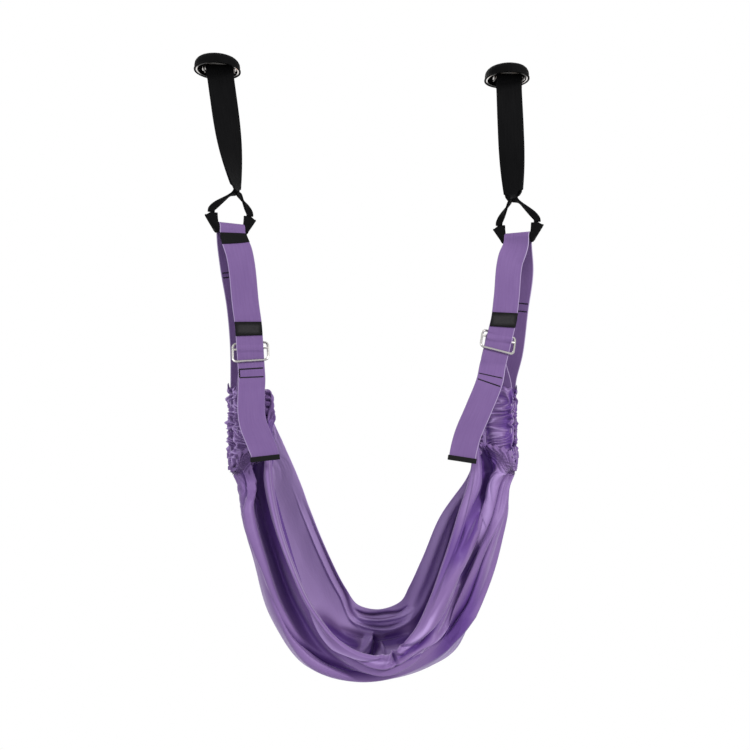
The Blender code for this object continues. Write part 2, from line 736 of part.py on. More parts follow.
    def build_sleeves(self):
        """Cut each sleeve from an outline: a ring round the bar, drawn up to the leg and slanted below."""
        outer_hand = math.copysign(1.0, self.side.anchor_x)
        for label, hand in (("outer", outer_hand), ("inner", -outer_hand)):
            name = f"{self.side.name}_sleeve_{label}"
            curve = bpy.data.curves.new(name, "CURVE")
            curve.dimensions = "2D"
            curve.fill_mode = "BOTH"
            curve.extrude = SLEEVE_WIDTH / 2
            inner = BAR_RADIUS + SEAT_GAP
            outer = inner + SLEEVE_WALL
            tip = self.sleeve_top
            shoulder = math.radians(38)
            neck = SLING_THICKNESS
            steps = 22
            ring = [(outer * math.sin(shoulder + (2 * math.pi - 2 * shoulder) * i / steps),
                     outer * math.cos(shoulder + (2 * math.pi - 2 * shoulder) * i / steps))
                    for i in range(steps + 1)]
            outline = ring + [(-neck, tip), (neck, tip)]
            hole = [(inner * math.sin(2 * math.pi * i / ROUND_STEPS), inner * math.cos(2 * math.pi * i / ROUND_STEPS))
                    for i in range(ROUND_STEPS)]
            for points in (outline, hole):
                spline = curve.splines.new("POLY")
                spline.points.add(len(points) - 1)
                for point, (u, v) in zip(spline.points, points):
                    point.co = (u, v, 0.0, 1.0)
                spline.use_cyclic_u = True
            sleeve = add_object(name, mesh_from_curve(name, curve, self.anchor.cutters),
                                self.finishes["black_webbing"], self.parts)
            across = Vector((0.0, 0.0, 1.0)).cross(self.bar_along)
            turn = Matrix((across, Vector((0.0, 0.0, 1.0)), across.cross(Vector((0.0, 0.0, 1.0))))).transposed()
            centre = self.bar_centre + self.bar_along * hand * self.sleeve_reach
            sleeve.matrix_world = Matrix.Translation(centre) @ turn.to_4x4()
            slant = self.slant_tool(name + "_slant", hand)
            combine(sleeve, slant, "DIFFERENCE")

    def slant_tool(self, name, hand):
        """Make the block that cuts a sleeve along a line from its outer corner down to its foot."""
        up = Vector((0.0, 0.0, 1.0))
        outwards = self.bar_along * hand
        inner_edge = self.bar_centre + outwards * (STRAP_WIDTH / 2 + SLEEVE_SPACE)
        foot = inner_edge + outwards * SLEEVE_FOOT - up * (BAR_RADIUS + SEAT_GAP + SLEEVE_WALL)
        corner = inner_edge + outwards * SLEEVE_WIDTH + up * (self.sleeve_top - SLEEVE_CORNER)
        line = (corner - foot).normalized()
        away = (outwards - line * outwards.dot(line)).normalized()
        size = 2 * (corner - foot).length
        turn = Matrix((line, away, line.cross(away))).transposed().to_4x4()
        place = Matrix.Translation((foot + corner) / 2 + away * size / 2) @ turn
        tool = box_object(name, (0, 0, 0), (size, size, size), place, self.finishes["black_webbing"],
                          self.anchor.cutters)
        hide_tool(tool)
        return tool

    def build(self):
        """Build the suspension's pieces in order."""
        self.build_sling()
        self.build_bar()
        self.build_sleeves()


class StrapLoop:
    """The purple webbing over the carry bar, its slide adjuster and what is sewn or pressed on it."""

    def __init__(self, side, suspension, cutters):
        self.side = side
        self.suspension = suspension
        self.parts = suspension.parts
        self.cutters = cutters
        self.finishes = suspension.finishes
        self.wrap_radius = BAR_RADIUS + SEAT_GAP + STRAP_THICKNESS / 2
        self.front = front_vector(side.bar_yaw)
        top_point, low_point = Vector(side.front_run[-1]), Vector(side.tail[0])
        self.straight = (low_point - top_point).normalized()
        share = (side.adjuster_z - top_point.z) / (low_point.z - top_point.z)
        self.adjuster = top_point.lerp(low_point, share)
        self.adjuster_across = Vector((1.0, 0.0, 0.0))
        self.adjuster_across = (self.adjuster_across
                                - self.straight * self.adjuster_across.dot(self.straight)).normalized()
        self.behind = self.straight.cross(self.adjuster_across).normalized()
        if self.behind.y < 0:
            self.behind = -self.behind
        self.bar_setback = (STRAP_THICKNESS / 2 + FLAT_GAP + STRAP_THICKNESS + SEAT_GAP + WIRE_RADIUS)
        self.low_setforward = STRAP_THICKNESS / 2 + SEAT_GAP + WIRE_RADIUS
        self.loop_front = front_vector(side.casing_yaw)
        self.loop_across = yaw_vector(side.casing_yaw)
        self.loop_centre = Vector((side.casing_x, side.casing_y, side.casing_z))

    def named(self, name):
        """Give a piece the name of its side."""
        return f"{self.side.name}_{name}"

    def loop_points(self, start, end, steps):
        """Return points of the webbing's lower loop, from 0 at the rear limb's top to 1 at the front's."""
        limb = LOOP_DROP
        arc = math.pi * LOOP_HALF_SPACE
        total = 2 * limb + arc
        points = []
        for index in range(steps + 1):
            reach = (start + (end - start) * index / steps) * total
            if reach < limb:
                point = self.loop_centre - self.loop_front * LOOP_HALF_SPACE - Vector((0, 0, reach))
            elif reach > limb + arc:
                point = (self.loop_centre + self.loop_front * LOOP_HALF_SPACE
                         - Vector((0, 0, total - reach)))
            else:
                angle = (reach - limb) / LOOP_HALF_SPACE
                point = (self.loop_centre - Vector((0, 0, limb))
                         - self.loop_front * LOOP_HALF_SPACE * math.cos(angle)
                         - Vector((0, 0, 1)) * LOOP_HALF_SPACE * math.sin(angle))
            points.append(point)
        return points

    def front_path(self):
        """Return the front run and the tail, from the bar's front down to the tail's end."""
        bar = self.suspension.bar_centre
        start = bar + self.front * self.wrap_radius
        below = start - Vector((0.0, 0.0, BAR_STUB))
        run = [Vector(p) for p in self.side.front_run]
        tail = [Vector(p) for p in self.side.tail]
        stub = self.straight * STRAIGHT_STUB
        guides = [run[-1] + stub, tail[0] - stub, tail[0], tail[0] + stub]
        points = [start, below] + run + guides + tail[1:]
        points.append(TAIL_ENDS[self.side.name])
        return smooth_path(points, RUN_STEPS)

    def front_yaw(self, z):
        """Return how far the front run is turned at a height."""
        side = self.side
        first = Vector(side.front_run[0]).z
        settle = ease((side.bar_z - z) / (side.bar_z - first))
        end = TAIL_ENDS[side.name].z
        tail = ease((side.adjuster_z - z) / (side.adjuster_z - end))
        return side.bar_yaw * (1 - settle) + side.tail_twist * tail

    def build_strap(self):
        """Make the long strap: tail, front run, over the bar, rear run and lower loop."""
        side = self.side
        front = self.front_path()
        points = front[::-1]
        angles = [self.front_yaw(point.z) for point in points]
        bar = self.suspension.bar_centre
        arc_steps = 10
        for step in range(1, arc_steps):
            angle = math.pi * step / arc_steps
            points.append(bar + (self.front * math.cos(angle) + Vector((0, 0, 1)) * math.sin(angle))
                          * self.wrap_radius)
            angles.append(side.bar_yaw)
        rear_top = bar - self.front * self.wrap_radius
        loop = self.loop_points(0.0, LOOP_SHARE, LOOP_STEPS)
        stub = Vector((0.0, 0.0, BAR_STUB))
        knots = [rear_top, rear_top - stub] + [Vector(p) for p in side.rear_run] + [loop[0] + stub, loop[0]]
        rear = smooth_path(knots, 4)
        for point in rear[:-1]:
            points.append(point)
            share = ease((side.bar_z - point.z) / (side.bar_z - side.casing_z))
            angles.append(side.bar_yaw + (side.casing_yaw - side.bar_yaw) * share)
        points += loop
        angles += [side.casing_yaw] * len(loop)
        frames = strip_frames(points, [yaw_vector(angle) for angle in angles])
        strip_object(self.named("strap"), frames, [STRAP_WIDTH] * len(points), STRAP_THICKNESS,
                     self.finishes["purple_webbing"], self.parts)

    def build_band(self, name, z_middle, height, thickness, overhang, finish):
        """Make a flat piece sewn on the front run's face."""
        path = [p for p in smooth_path([p for p in self.front_path()], 3)]
        chosen = [p for p in path if abs(p.z - z_middle) < height / 2]
        upper = self.front_point(path, z_middle + height / 2)
        lower = self.front_point(path, z_middle - height / 2)
        points = [upper] + chosen + [lower]
        points = [p for i, p in enumerate(points) if i == 0 or (p - points[i - 1]).length > 0.0008]
        frames = strip_frames(points, [yaw_vector(self.front_yaw(p.z)) for p in points])
        offset = STRAP_THICKNESS / 2 + FLAT_GAP + thickness / 2
        lifted = []
        for point, across, normal in frames:
            outward = normal if normal.y < 0 else -normal
            lifted.append((point + outward * offset, across, normal))
        strip_object(self.named(name), lifted, [STRAP_WIDTH + 2 * overhang] * len(lifted), thickness,
                     self.finishes[finish], self.parts)

    def front_point(self, path, z):
        """Return the point of the front run at a height."""
        for upper, lower in zip(path, path[1:]):
            if upper.z >= z >= lower.z:
                return upper.lerp(lower, (upper.z - z) / (upper.z - lower.z))
        return path[-1]

    def frame_point(self, across, up):
        """Return a point in the adjuster's tilted plane."""
        half = FRAME_HEIGHT / 2
        rise_low = -self.low_setforward
        rise_high = self.top_setback()
        back = rise_low + (rise_high - rise_low) * (up + half) / FRAME_HEIGHT
        return self.adjuster + self.adjuster_across * across - self.straight * up + self.behind * back

    def top_setback(self):
        """Return how far the adjuster's top bar lies behind the strap."""
        return (self.bar_setback + self.low_setforward) / CENTRE_BAR_SHARE - self.low_setforward

    def bar_up(self):
        """Return where the centre bar lies in the adjuster's plane, from its middle."""
        return FRAME_HEIGHT * (CENTRE_BAR_SHARE - 0.5)

    def wire_mesh(self, name, points, cyclic):
        """Return a mesh object of a wire through the given points."""
        curve = bpy.data.curves.new(name, "CURVE")
        curve.dimensions = "3D"
        curve.bevel_depth = WIRE_RADIUS
        curve.bevel_resolution = 2
        curve.use_fill_caps = not cyclic
        spline = curve.splines.new("POLY")
        spline.points.add(len(points) - 1)
        for target, point in zip(spline.points, points):
            target.co = (*point, 1.0)
        spline.use_cyclic_u = cyclic
        return mesh_from_curve(name, curve, self.cutters)

    def build_adjuster(self):
        """Bend the adjuster's frame from wire and weld its centre bar in."""
        half_width = FRAME_WIDTH / 2
        half_height = FRAME_HEIGHT / 2
        corner_steps = 4
        outline = []
        for quarter in range(4):
            sign_u = 1 if quarter in (0, 3) else -1
            sign_v = 1 if quarter in (0, 1) else -1
            for step in range(corner_steps + 1):
                angle = math.pi / 2 * (quarter + step / corner_steps)
                u = sign_u * (half_width - FRAME_CORNER) + FRAME_CORNER * math.cos(angle)
                v = sign_v * (half_height - FRAME_CORNER) + FRAME_CORNER * math.sin(angle)
                outline.append(self.frame_point(u, v))
        frame_mesh = self.wire_mesh(self.named("adjuster"), outline, True)
        adjuster = add_object(self.named("adjuster"), frame_mesh, self.finishes["nickel"], self.parts)
        bar_ends = [self.frame_point(sign * half_width, self.bar_up()) for sign in (-1, 1)]
        bar_points = [bar_ends[0].lerp(bar_ends[1], step / 4) for step in range(5)]
        bar_mesh = self.wire_mesh(self.named("adjuster_bar"), bar_points, False)
        bar = bpy.data.objects.new(self.named("adjuster_bar_tool"), bar_mesh)
        self.cutters.objects.link(bar)
        hide_tool(bar)
        combine(adjuster, bar, "UNION")

    def build_fixed_end(self):
        """Fold the strap's sewn end over the adjuster's centre bar, behind the straight run."""
        centre = self.adjuster - self.straight * self.bar_up() + self.behind * self.bar_setback
        radius = WIRE_RADIUS + SEAT_GAP + STRAP_THICKNESS / 2
        points = []
        front_steps = 4
        for step in range(front_steps):
            points.append(centre - self.behind * radius + self.straight * FOLD_FRONT * (1 - step / front_steps))
        arc_steps = 8
        for step in range(arc_steps + 1):
            angle = math.pi * step / arc_steps
            points.append(centre - self.behind * radius * math.cos(angle) - self.straight * radius * math.sin(angle))
        drawn_in = STRAP_THICKNESS + FLAT_GAP
        for step in range(1, 7):
            part = step / 6
            inward = (2 * radius - drawn_in) * ease(part * FOLD_CLOSE_RATE)
            points.append(centre + self.behind * (radius - inward) + self.straight * FOLD_REAR * part)
        self.fold_end = points[-1]
        frames = strip_frames(points, [self.adjuster_across] * len(points))
        strip_object(self.named("fixed_end"), frames, [STRAP_WIDTH - 0.001] * len(points), STRAP_THICKNESS,
                     self.finishes["purple_webbing"], self.parts)

    def build_lower_strap(self):
        """Make the run between the adjuster's fold and the lower loop."""
        loop = self.loop_points(LOOP_SHARE, 1.0, 2)
        top = self.fold_end + self.straight * SEAT_GAP
        low = loop[0] + Vector((0.0, 0.0, SEAT_GAP))
        third = (top - low).length / 3
        up = Vector((0.0, 0.0, 1.0))
        curve = bezier_path(top + self.straight * SEAM_STUB, top + self.straight * third, low + up * third,
                            low + up * SEAM_STUB, 7)
        points = [top] + curve + [low]
        shares = [ease((top.z - point.z) / (top.z - low.z)) for point in points]
        guides = [self.adjuster_across.lerp(self.loop_across, share) for share in shares]
        strip_object(self.named("lower_strap"), strip_frames(points, guides), [STRAP_WIDTH - 0.001] * len(points),
                     STRAP_THICKNESS, self.finishes["purple_webbing"], self.parts)

    def build_end_cap(self):
        """Press a moulded cap on the tail's end: a bevelled block with a slot for the webbing."""
        path = self.front_path()
        end = path[-1]
        along = (path[-1] - path[-2]).normalized()
        across = yaw_vector(self.front_yaw(end.z))
        across = (across - along * across.dot(along)).normalized()
        normal = along.cross(across).normalized()
        turn = Matrix((across, normal, along)).transposed().to_4x4()
        place = Matrix.Translation(end) @ turn
        thickness = STRAP_THICKNESS + 2 * (END_CAP_WALL + SEAT_GAP)
        width = STRAP_WIDTH + 2 * (END_CAP_WALL + SEAT_GAP)
        centre = END_CAP_LENGTH / 2 - END_CAP_COVER
        cap = box_object(self.named("end_cap"), (0, 0, centre), (width, thickness, END_CAP_LENGTH), place,
                         self.finishes["black_plastic"], self.parts)
        bevel(cap, 0.0009)
        slot = box_object(self.named("end_cap_slot"), (0, 0, -END_CAP_COVER),
                          (STRAP_WIDTH + 2 * SEAT_GAP, STRAP_THICKNESS + 2 * SEAT_GAP,
                           2 * (END_CAP_COVER + SEAT_GAP)), place, self.finishes["black_plastic"],
                          self.cutters)
        hide_tool(slot)
        combine(cap, slot, "DIFFERENCE")

    def build_casing(self):
        """Make the gathered cloth casing: a flat tube round the lower loop with a ruffled outer edge."""
        path = self.loop_points(0.0, 1.0, LOOP_STEPS)
        inner_half = STRAP_WIDTH / 2 + CASING_SPACE
        inner_deep = STRAP_THICKNESS / 2 + CASING_SPACE
        outer_deep = inner_deep + CASING_CLOTH
        hand = self.inner_hand()
        mesh = bpy.data.meshes.new(self.named("casing"))
        shape = bmesh.new()
        rings = []
        length = 0.0
        frames = strip_frames(path, [self.loop_across] * len(path))
        for index, (point, across, normal) in enumerate(frames):
            if index:
                length += (point - path[index - 1]).length
            wave = math.sin(2 * math.pi * length / RUFFLE_PITCH)
            inner_edge = CASING_WIDTH / 2 + 0.0004
            outer_edge = CASING_WIDTH / 2 + RUFFLE_DEPTH * (0.5 + 0.5 * wave)
            deep = outer_deep + RUFFLE_BITE * (0.5 + 0.5 * math.sin(2 * math.pi * length / RUFFLE_PITCH + 1.3))
            outline = [
                (inner_edge, -outer_deep * 0.6), (inner_edge, outer_deep * 0.6),
                (inner_half * 0.6, deep), (-inner_half * 0.2, outer_deep + 0.0002), (-inner_half * 0.8, deep),
                (-outer_edge, outer_deep * 0.6), (-outer_edge, -outer_deep * 0.6),
                (-inner_half * 0.8, -deep), (-inner_half * 0.2, -outer_deep - 0.0002), (inner_half * 0.6, -deep),
            ]
            bore = [
                (inner_half, -inner_deep), (inner_half, inner_deep),
                (-inner_half, inner_deep), (-inner_half, -inner_deep),
            ]
            rings.append([[shape.verts.new(point + across * u * hand + normal * v) for u, v in loop]
                          for loop in (outline, bore)])
        for upper, lower in zip(rings, rings[1:]):
            for loop, flip in ((0, False), (1, True)):
                count = len(upper[loop])
                for i in range(count):
                    j = (i + 1) % count
                    quad = [upper[loop][i], lower[loop][i], lower[loop][j], upper[loop][j]]
                    shape.faces.new(quad[::-1] if flip else quad)
        for ring, flip in ((rings[0], False), (rings[-1], True)):
            outer, bore = ring
            spans = [((0, 1), (0, 1)), ((1, 2), (1, 1)), ((2, 3), (1, 2)), ((3, 4), (2, 2)), ((4, 5), (2, 2)),
                     ((5, 6), (2, 3)), ((6, 7), (3, 3)), ((7, 8), (3, 3)), ((8, 9), (3, 0)), ((9, 0), (0, 0))]
            for (a, b), (c, d) in spans:
                verts = [outer[a], outer[b], bore[d]] + ([bore[c]] if c != d else [])
                shape.faces.new(verts[::-1] if flip else verts)
        bmesh.ops.recalc_face_normals(shape, faces=shape.faces)
        shape.to_mesh(mesh)
        shape.free()
        add_object(self.named("casing"), mesh, self.finishes["purple_cloth"], self.parts)

    def inner_hand(self):
        """Return 1 where the cloth leaves the casing towards +X."""
        return 1.0 if self.side.anchor_x < 0 else -1.0

    def cloth_edge(self, share):
        """Return where the cloth leaves the casing, from 0 at its front top to 1 at its rear top.

        Below the loop the cloth passes under the casing. The second point leads it clear.
        """
        before, point, after = self.loop_points(0.99 - share * 0.98, 1.01 - share * 0.98, 2)
        inwards = self.loop_across * self.inner_hand()
        outwards = (after - before).cross(self.loop_across).normalized()
        middle = self.loop_centre - Vector((0, 0, LOOP_DROP if point.z < self.loop_low() else 0.0))
        if outwards.dot(point - middle) < 0:
            outwards = -outwards
        under = min(ease((share - UNDER_START) / UNDER_TURN), ease((UNDER_END - share) / UNDER_TURN))
        reach = (CASING_WIDTH / 2 + CLOTH_EDGE_GAP) * (1 - UNDER_REACH * ease((under - 0.3) / 0.7))
        dropped = min(ease((share - DROP_START) / UNDER_TURN), ease((DROP_END - share) / UNDER_TURN))
        edge = point + inwards * reach + outwards * UNDER_DROP * dropped
        return edge, edge + inwards * CLOTH_LEAD_IN * (1 - under) + outwards * CLOTH_LEAD_OUT

    def loop_low(self):
        """Return the height where the loop's straight limbs end."""
        return self.loop_centre.z - LOOP_DROP

    def build(self):
        """Build the strap's pieces in order."""
        self.build_strap()
        self.build_adjuster()
        self.build_fixed_end()
        self.build_lower_strap()
        self.build_band("patch", self.side.patch_z, PATCH_HEIGHT, PATCH_THICKNESS, 0.0, "black_leather")
        if self.side.name == "left":
            self.build_band("label", self.side.label_z, LABEL_HEIGHT, LABEL_THICKNESS, LABEL_OVERHANG,
                            "black_webbing")
        self.build_end_cap()
        self.build_casing()


def build_hammock(left, right, parts, finishes):
    """Loft the cloth across its folds, from one casing to the other, and thicken it."""
    lines = [SmoothCurve(places) for places in zip(*CLOTH_FOLDS.values())]
    columns = []
    for column in range(CLOTH_STEPS_ACROSS + 1):
        across = column / CLOTH_STEPS_ACROSS
        left_edge, left_lead = left.cloth_edge(CLOTH_END_SHARE + (1 - 2 * CLOTH_END_SHARE) * across)
        right_edge, right_lead = right.cloth_edge(CLOTH_END_SHARE + (1 - 2 * CLOTH_END_SHARE) * across)
        stations = [line.share(across) for line in lines]
        left_slope = left_lead.lerp(stations[0], CLOTH_SLOPE_SHARE)
        right_slope = right_lead.lerp(stations[-1], CLOTH_SLOPE_SHARE)
        columns.append(SmoothCurve([left_edge, left_lead, left_slope, *stations, right_slope, right_lead,
                                    right_edge]))
    mesh = bpy.data.meshes.new("hammock")
    shape = bmesh.new()
    grid = [[shape.verts.new(curve.share(row / CLOTH_STEPS_ALONG)) for curve in columns]
            for row in range(CLOTH_STEPS_ALONG + 1)]
    for near, far in zip(grid, grid[1:]):
        for j in range(CLOTH_STEPS_ACROSS):
            shape.faces.new((near[j], near[j + 1], far[j + 1], far[j]))
    shape.to_mesh(mesh)
    shape.free()
    hammock = add_object("hammock", mesh, finishes["purple_cloth"], parts)
    solid = hammock.modifiers.new("thickness", "SOLIDIFY")
    solid.thickness = CLOTH_THICKNESS
    solid.offset = 0.0
    shade(mesh, 60)


def main():
    """Build the whole product."""
    clear_scene()
    parts = new_collection("yoga_inversion_strap")
    cutters = new_collection("cutters")
    finishes = {
        "black_metal": new_material("black_metal", (0.02, 0.02, 0.022), 0.45, 0.3),
        "bright_metal": new_material("bright_metal", (0.62, 0.61, 0.60), 0.25, 1.0),
        "bar_metal": new_material("bar_metal", (0.08, 0.08, 0.085), 0.4, 0.6),
        "nickel": new_material("nickel", (0.42, 0.42, 0.43), 0.3, 1.0),
        "black_webbing": new_material("black_webbing", (0.012, 0.012, 0.014), 0.85),
        "black_plastic": new_material("black_plastic", (0.012, 0.012, 0.013), 0.5),
        "black_leather": new_material("black_leather", (0.035, 0.033, 0.036), 0.6),
        "purple_webbing": new_material("purple_webbing", (0.235, 0.135, 0.365), 0.8),
        "purple_cloth": new_material("purple_cloth", (0.22, 0.12, 0.35), 0.5),
    }
    loops = []
    for side in (LEFT, RIGHT):
        anchor = Anchor(side, parts, cutters, finishes)
        anchor.build()
        suspension = Suspension(side, anchor)
        suspension.build()
        loop = StrapLoop(side, suspension, cutters)
        loop.build()
        loops.append(loop)
    build_hammock(loops[0], loops[1], parts, finishes)


main()
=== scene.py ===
"""Looks of a hanging yoga inversion strap: webbing, gathered cloth, ceiling anchors and fittings.

Places are in metres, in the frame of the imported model: +X to the right, +Y away, +Z up. Only the
tables of the cloth are in millimetres.
"""

import json
import logging
import math
from dataclasses import dataclass, field
from enum import Enum
from typing import Iterable, Sequence, Union

import bmesh
import bpy
import numpy as np
from bpy.types import Material, Mesh, Node, NodeSocket, NodeTree, Object
from mathutils import Matrix, Vector

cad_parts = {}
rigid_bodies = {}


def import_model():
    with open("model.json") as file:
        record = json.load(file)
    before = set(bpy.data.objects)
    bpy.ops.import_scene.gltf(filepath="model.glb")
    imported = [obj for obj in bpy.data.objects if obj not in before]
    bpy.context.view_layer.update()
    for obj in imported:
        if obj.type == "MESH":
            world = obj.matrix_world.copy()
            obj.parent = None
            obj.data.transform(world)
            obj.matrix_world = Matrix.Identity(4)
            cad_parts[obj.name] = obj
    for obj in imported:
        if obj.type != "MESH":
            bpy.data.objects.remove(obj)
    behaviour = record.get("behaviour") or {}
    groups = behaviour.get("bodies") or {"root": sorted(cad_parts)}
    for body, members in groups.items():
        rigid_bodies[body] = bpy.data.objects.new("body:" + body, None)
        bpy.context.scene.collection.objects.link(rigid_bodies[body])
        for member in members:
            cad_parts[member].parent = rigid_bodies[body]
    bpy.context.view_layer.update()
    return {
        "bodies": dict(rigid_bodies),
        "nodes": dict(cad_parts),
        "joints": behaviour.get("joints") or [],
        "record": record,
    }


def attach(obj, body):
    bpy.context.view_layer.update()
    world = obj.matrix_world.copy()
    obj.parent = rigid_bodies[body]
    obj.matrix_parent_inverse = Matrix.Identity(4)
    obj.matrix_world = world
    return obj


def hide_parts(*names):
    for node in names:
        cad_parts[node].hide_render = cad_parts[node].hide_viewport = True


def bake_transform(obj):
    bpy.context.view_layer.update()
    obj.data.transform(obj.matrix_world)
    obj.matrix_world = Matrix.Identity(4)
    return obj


LOG = logging.getLogger("scene")
UP = Vector((0.0, 0.0, 1.0))
RIGHTWARDS = Vector((1.0, 0.0, 0.0))
SHADE_NAME = "fold_shade"

Point = tuple[float, float, float]
Route = tuple[Point, ...]
Rgb = tuple[float, float, float]
Value = Union[float, NodeSocket]
Tint = Union[Sequence[float], NodeSocket]


# Sizes and routes


@dataclass(frozen=True)
class Sizes:
    """Sizes shared by both halves, in metres."""

    seat_gap: float = 0.0003
    flat_gap: float = 0.0004
    pin_drop: float = 0.016
    pin_radius: float = 0.004
    sling_width: float = 0.05
    sling_thickness: float = 0.002
    sling_offset: float = 0.0035
    leg_width: float = 0.0125
    neck_drop: float = 0.2425
    twist_start: float = 0.03
    bar_radius: float = 0.008
    sleeve_width: float = 0.024
    sleeve_space: float = 0.0014
    sleeve_wall: float = 0.002
    sleeve_apex: float = 0.017
    sleeve_foot: float = 0.0036
    sleeve_corner: float = 0.008
    strap_width: float = 0.05
    strap_thickness: float = 0.0022
    lower_width: float = 0.049
    wire_radius: float = 0.00225
    frame_height: float = 0.033
    centre_bar_share: float = 0.68
    fold_front: float = 0.026
    fold_rear: float = 0.036
    bar_stub: float = 0.006
    straight_stub: float = 0.008
    loop_half_space: float = 0.0245
    loop_drop: float = 0.12
    loop_share: float = 0.998
    casing_width: float = 0.055
    cloth_edge_gap: float = 0.0014
    cloth_lead_in: float = 0.008
    cloth_lead_out: float = 0.006
    under_start: float = 0.28
    under_end: float = 0.74
    under_turn: float = 0.14
    under_reach: float = 1.85
    under_drop: float = 0.0085
    drop_start: float = 0.14
    drop_end: float = 0.86


SIZES = Sizes()


@dataclass(frozen=True)
class Gathers:
    """How one side's casing is gathered: its pleat pitch in metres, and shares and painted shades from -1 to
    1.
    """

    pleat_pitch: float
    shade: float
    outer_shade: float
    limbs: float
    frill: float


@dataclass(frozen=True)
class Side:
    """Where one half of the product hangs."""

    name: str
    anchor_x: float
    bar: Point
    bar_yaw: float
    neck_x: float
    neck_twist: float
    front_run: Route
    adjuster_z: float
    tail: Route
    tail_end: Point
    tail_twist: float
    rear_run: Route
    casing: Point
    casing_yaw: float
    patch_z: float
    front_stitches: tuple[float, float]
    rear_stitches: tuple[float, float]
    patch_skew: tuple[float, float]
    gathers: Gathers

    @property
    def inner_hand(self) -> float:
        """Return 1 where the cloth leaves this side's casing towards +X, else -1."""
        return 1.0 if self.anchor_x < 0 else -1.0

    def named(self, piece: str) -> str:
        """Return a piece's name with this side's name before it."""
        return f"{self.name}_{piece}"


LEFT = Side(
    name="left",
    anchor_x=-0.278,
    bar=(-0.253, 0.0, -0.3193),
    bar_yaw=math.radians(27),
    neck_x=-0.2435,
    neck_twist=math.radians(78),
    front_run=((-0.2355, -0.017, -0.368), (-0.223, -0.0195, -0.469), (-0.2175, -0.02, -0.511)),
    adjuster_z=-0.5525,
    tail=((-0.2124, -0.02, -0.592), (-0.2116, -0.037, -0.629), (-0.2085, -0.047, -0.681),
          (-0.193, -0.054, -0.721), (-0.1857, -0.0585, -0.7395)),
    tail_end=(-0.1845, -0.0595, -0.75),
    tail_twist=math.radians(2),
    rear_run=((-0.253, 0.019, -0.381), (-0.239, 0.023, -0.469), (-0.233, 0.028, -0.548)),
    casing=(-0.2255, 0.018, -0.619),
    casing_yaw=math.radians(20),
    patch_z=-0.509,
    front_stitches=(-0.5848, -0.6002),
    rear_stitches=(-0.3958, -0.4104),
    patch_skew=(-0.003, -0.0006),
    gathers=Gathers(pleat_pitch=0.015, shade=-0.3, outer_shade=0.05, limbs=0.15, frill=1.15),
)

RIGHT = Side(
    name="right",
    anchor_x=0.278,
    bar=(0.3, 0.0, -0.3288),
    bar_yaw=math.radians(-33),
    neck_x=0.291,
    neck_twist=math.radians(-62),
    front_run=((0.28, -0.017, -0.378), (0.272, -0.0195, -0.451), (0.2655, -0.02, -0.497)),
    adjuster_z=-0.5325,
    tail=((0.2478, -0.02, -0.568), (0.235, -0.04, -0.607), (0.211, -0.05, -0.661),
          (0.188, -0.054, -0.714), (0.18, -0.0575, -0.744)),
    tail_end=(0.1782, -0.0585, -0.755),
    tail_twist=math.radians(-2),
    rear_run=((0.3115, 0.019, -0.391), (0.302, 0.023, -0.469), (0.293, 0.027, -0.548)),
    casing=(0.2715, 0.018, -0.623),
    casing_yaw=math.radians(-24),
    patch_z=-0.49,
    front_stitches=(-0.5985, -0.611),
    rear_stitches=(-0.4525, -0.4675),
    patch_skew=(0.0022, 0.0048),
    gathers=Gathers(pleat_pitch=0.019, shade=0.3, outer_shade=0.4, limbs=1.0, frill=0.45),
)

# Lines of the cloth from its front edge, round below the seat, to its back edge. Each runs from the
# left casing down the left arm, through the seat and up the right arm, in millimetres.
CLOTH_FOLDS = {
    "front_edge": ((-186, -30, -771), (-171, -56, -851), (-143, -80, -931), (-100, -100, -1016),
     (-50, -114, -1071), (34, -120, -1095), (83, -112, -1053), (112, -98, -1005), (143, -80, -934),
     (174, -56, -856), (200, -32, -789)),
    "front_roll": ((-190, -12, -781), (-177, -30, -854), (-150, -52, -935), (-108, -74, -1024),
     (-57, -95, -1088), (30, -122, -1115), (112, -113, -1059), (138, -102, -1007), (164, -84, -933),
     (193, -61, -855), (216, -36, -785)),
    "valley": ((-203, 6, -785), (-193, 4, -859), (-168, -8, -941), (-130, -28, -1033), (-77, -60, -1104),
     (28, -92, -1133), (132, -78, -1081), (166, -60, -1021), (194, -43, -944), (223, -27, -862),
     (242, -8, -789)),
    "outer_strip": ((-226, -16, -783), (-216, -36, -855), (-191, -53, -935), (-157, -68, -1031),
     (-100, -80, -1113), (20, -74, -1153), (155, -83, -1093), (184, -74, -1023), (212, -61, -941),
     (238, -43, -860), (258, -22, -787)),
    "keel": ((-243, 12, -787), (-233, 6, -862), (-210, 0, -947), (-179, -8, -1049), (-120, -10, -1133),
     (5, -5, -1181), (188, -8, -1125), (221, -4, -1043), (253, 2, -956), (276, 8, -870), (290, 14, -793)),
    "under_fold": ((-221, 40, -791), (-209, 45, -870), (-182, 50, -959), (-143, 55, -1060), (-78, 60, -1131),
     (28, 66, -1163), (157, 60, -1127), (200, 55, -1048), (232, 50, -957), (256, 46, -877), (276, 42, -796)),
    "back_wall": ((-184, 48, -792), (-159, 60, -873), (-120, 75, -967), (-70, 95, -1054), (-30, 108, -1109),
     (40, 112, -1131), (126, 104, -1093), (160, 92, -1036), (182, 75, -962), (204, 60, -878),
     (246, 50, -797)),
    "back_edge": ((-128, 32, -792), (-100, 46, -871), (-62, 70, -967), (-30, 98, -1034), (-4, 120, -1073),
     (41, 130, -1086), (82, 121, -1069), (99, 99, -1031), (121, 75, -971), (155, 50, -878), (213, 36, -785)),
}


# Geometry helpers


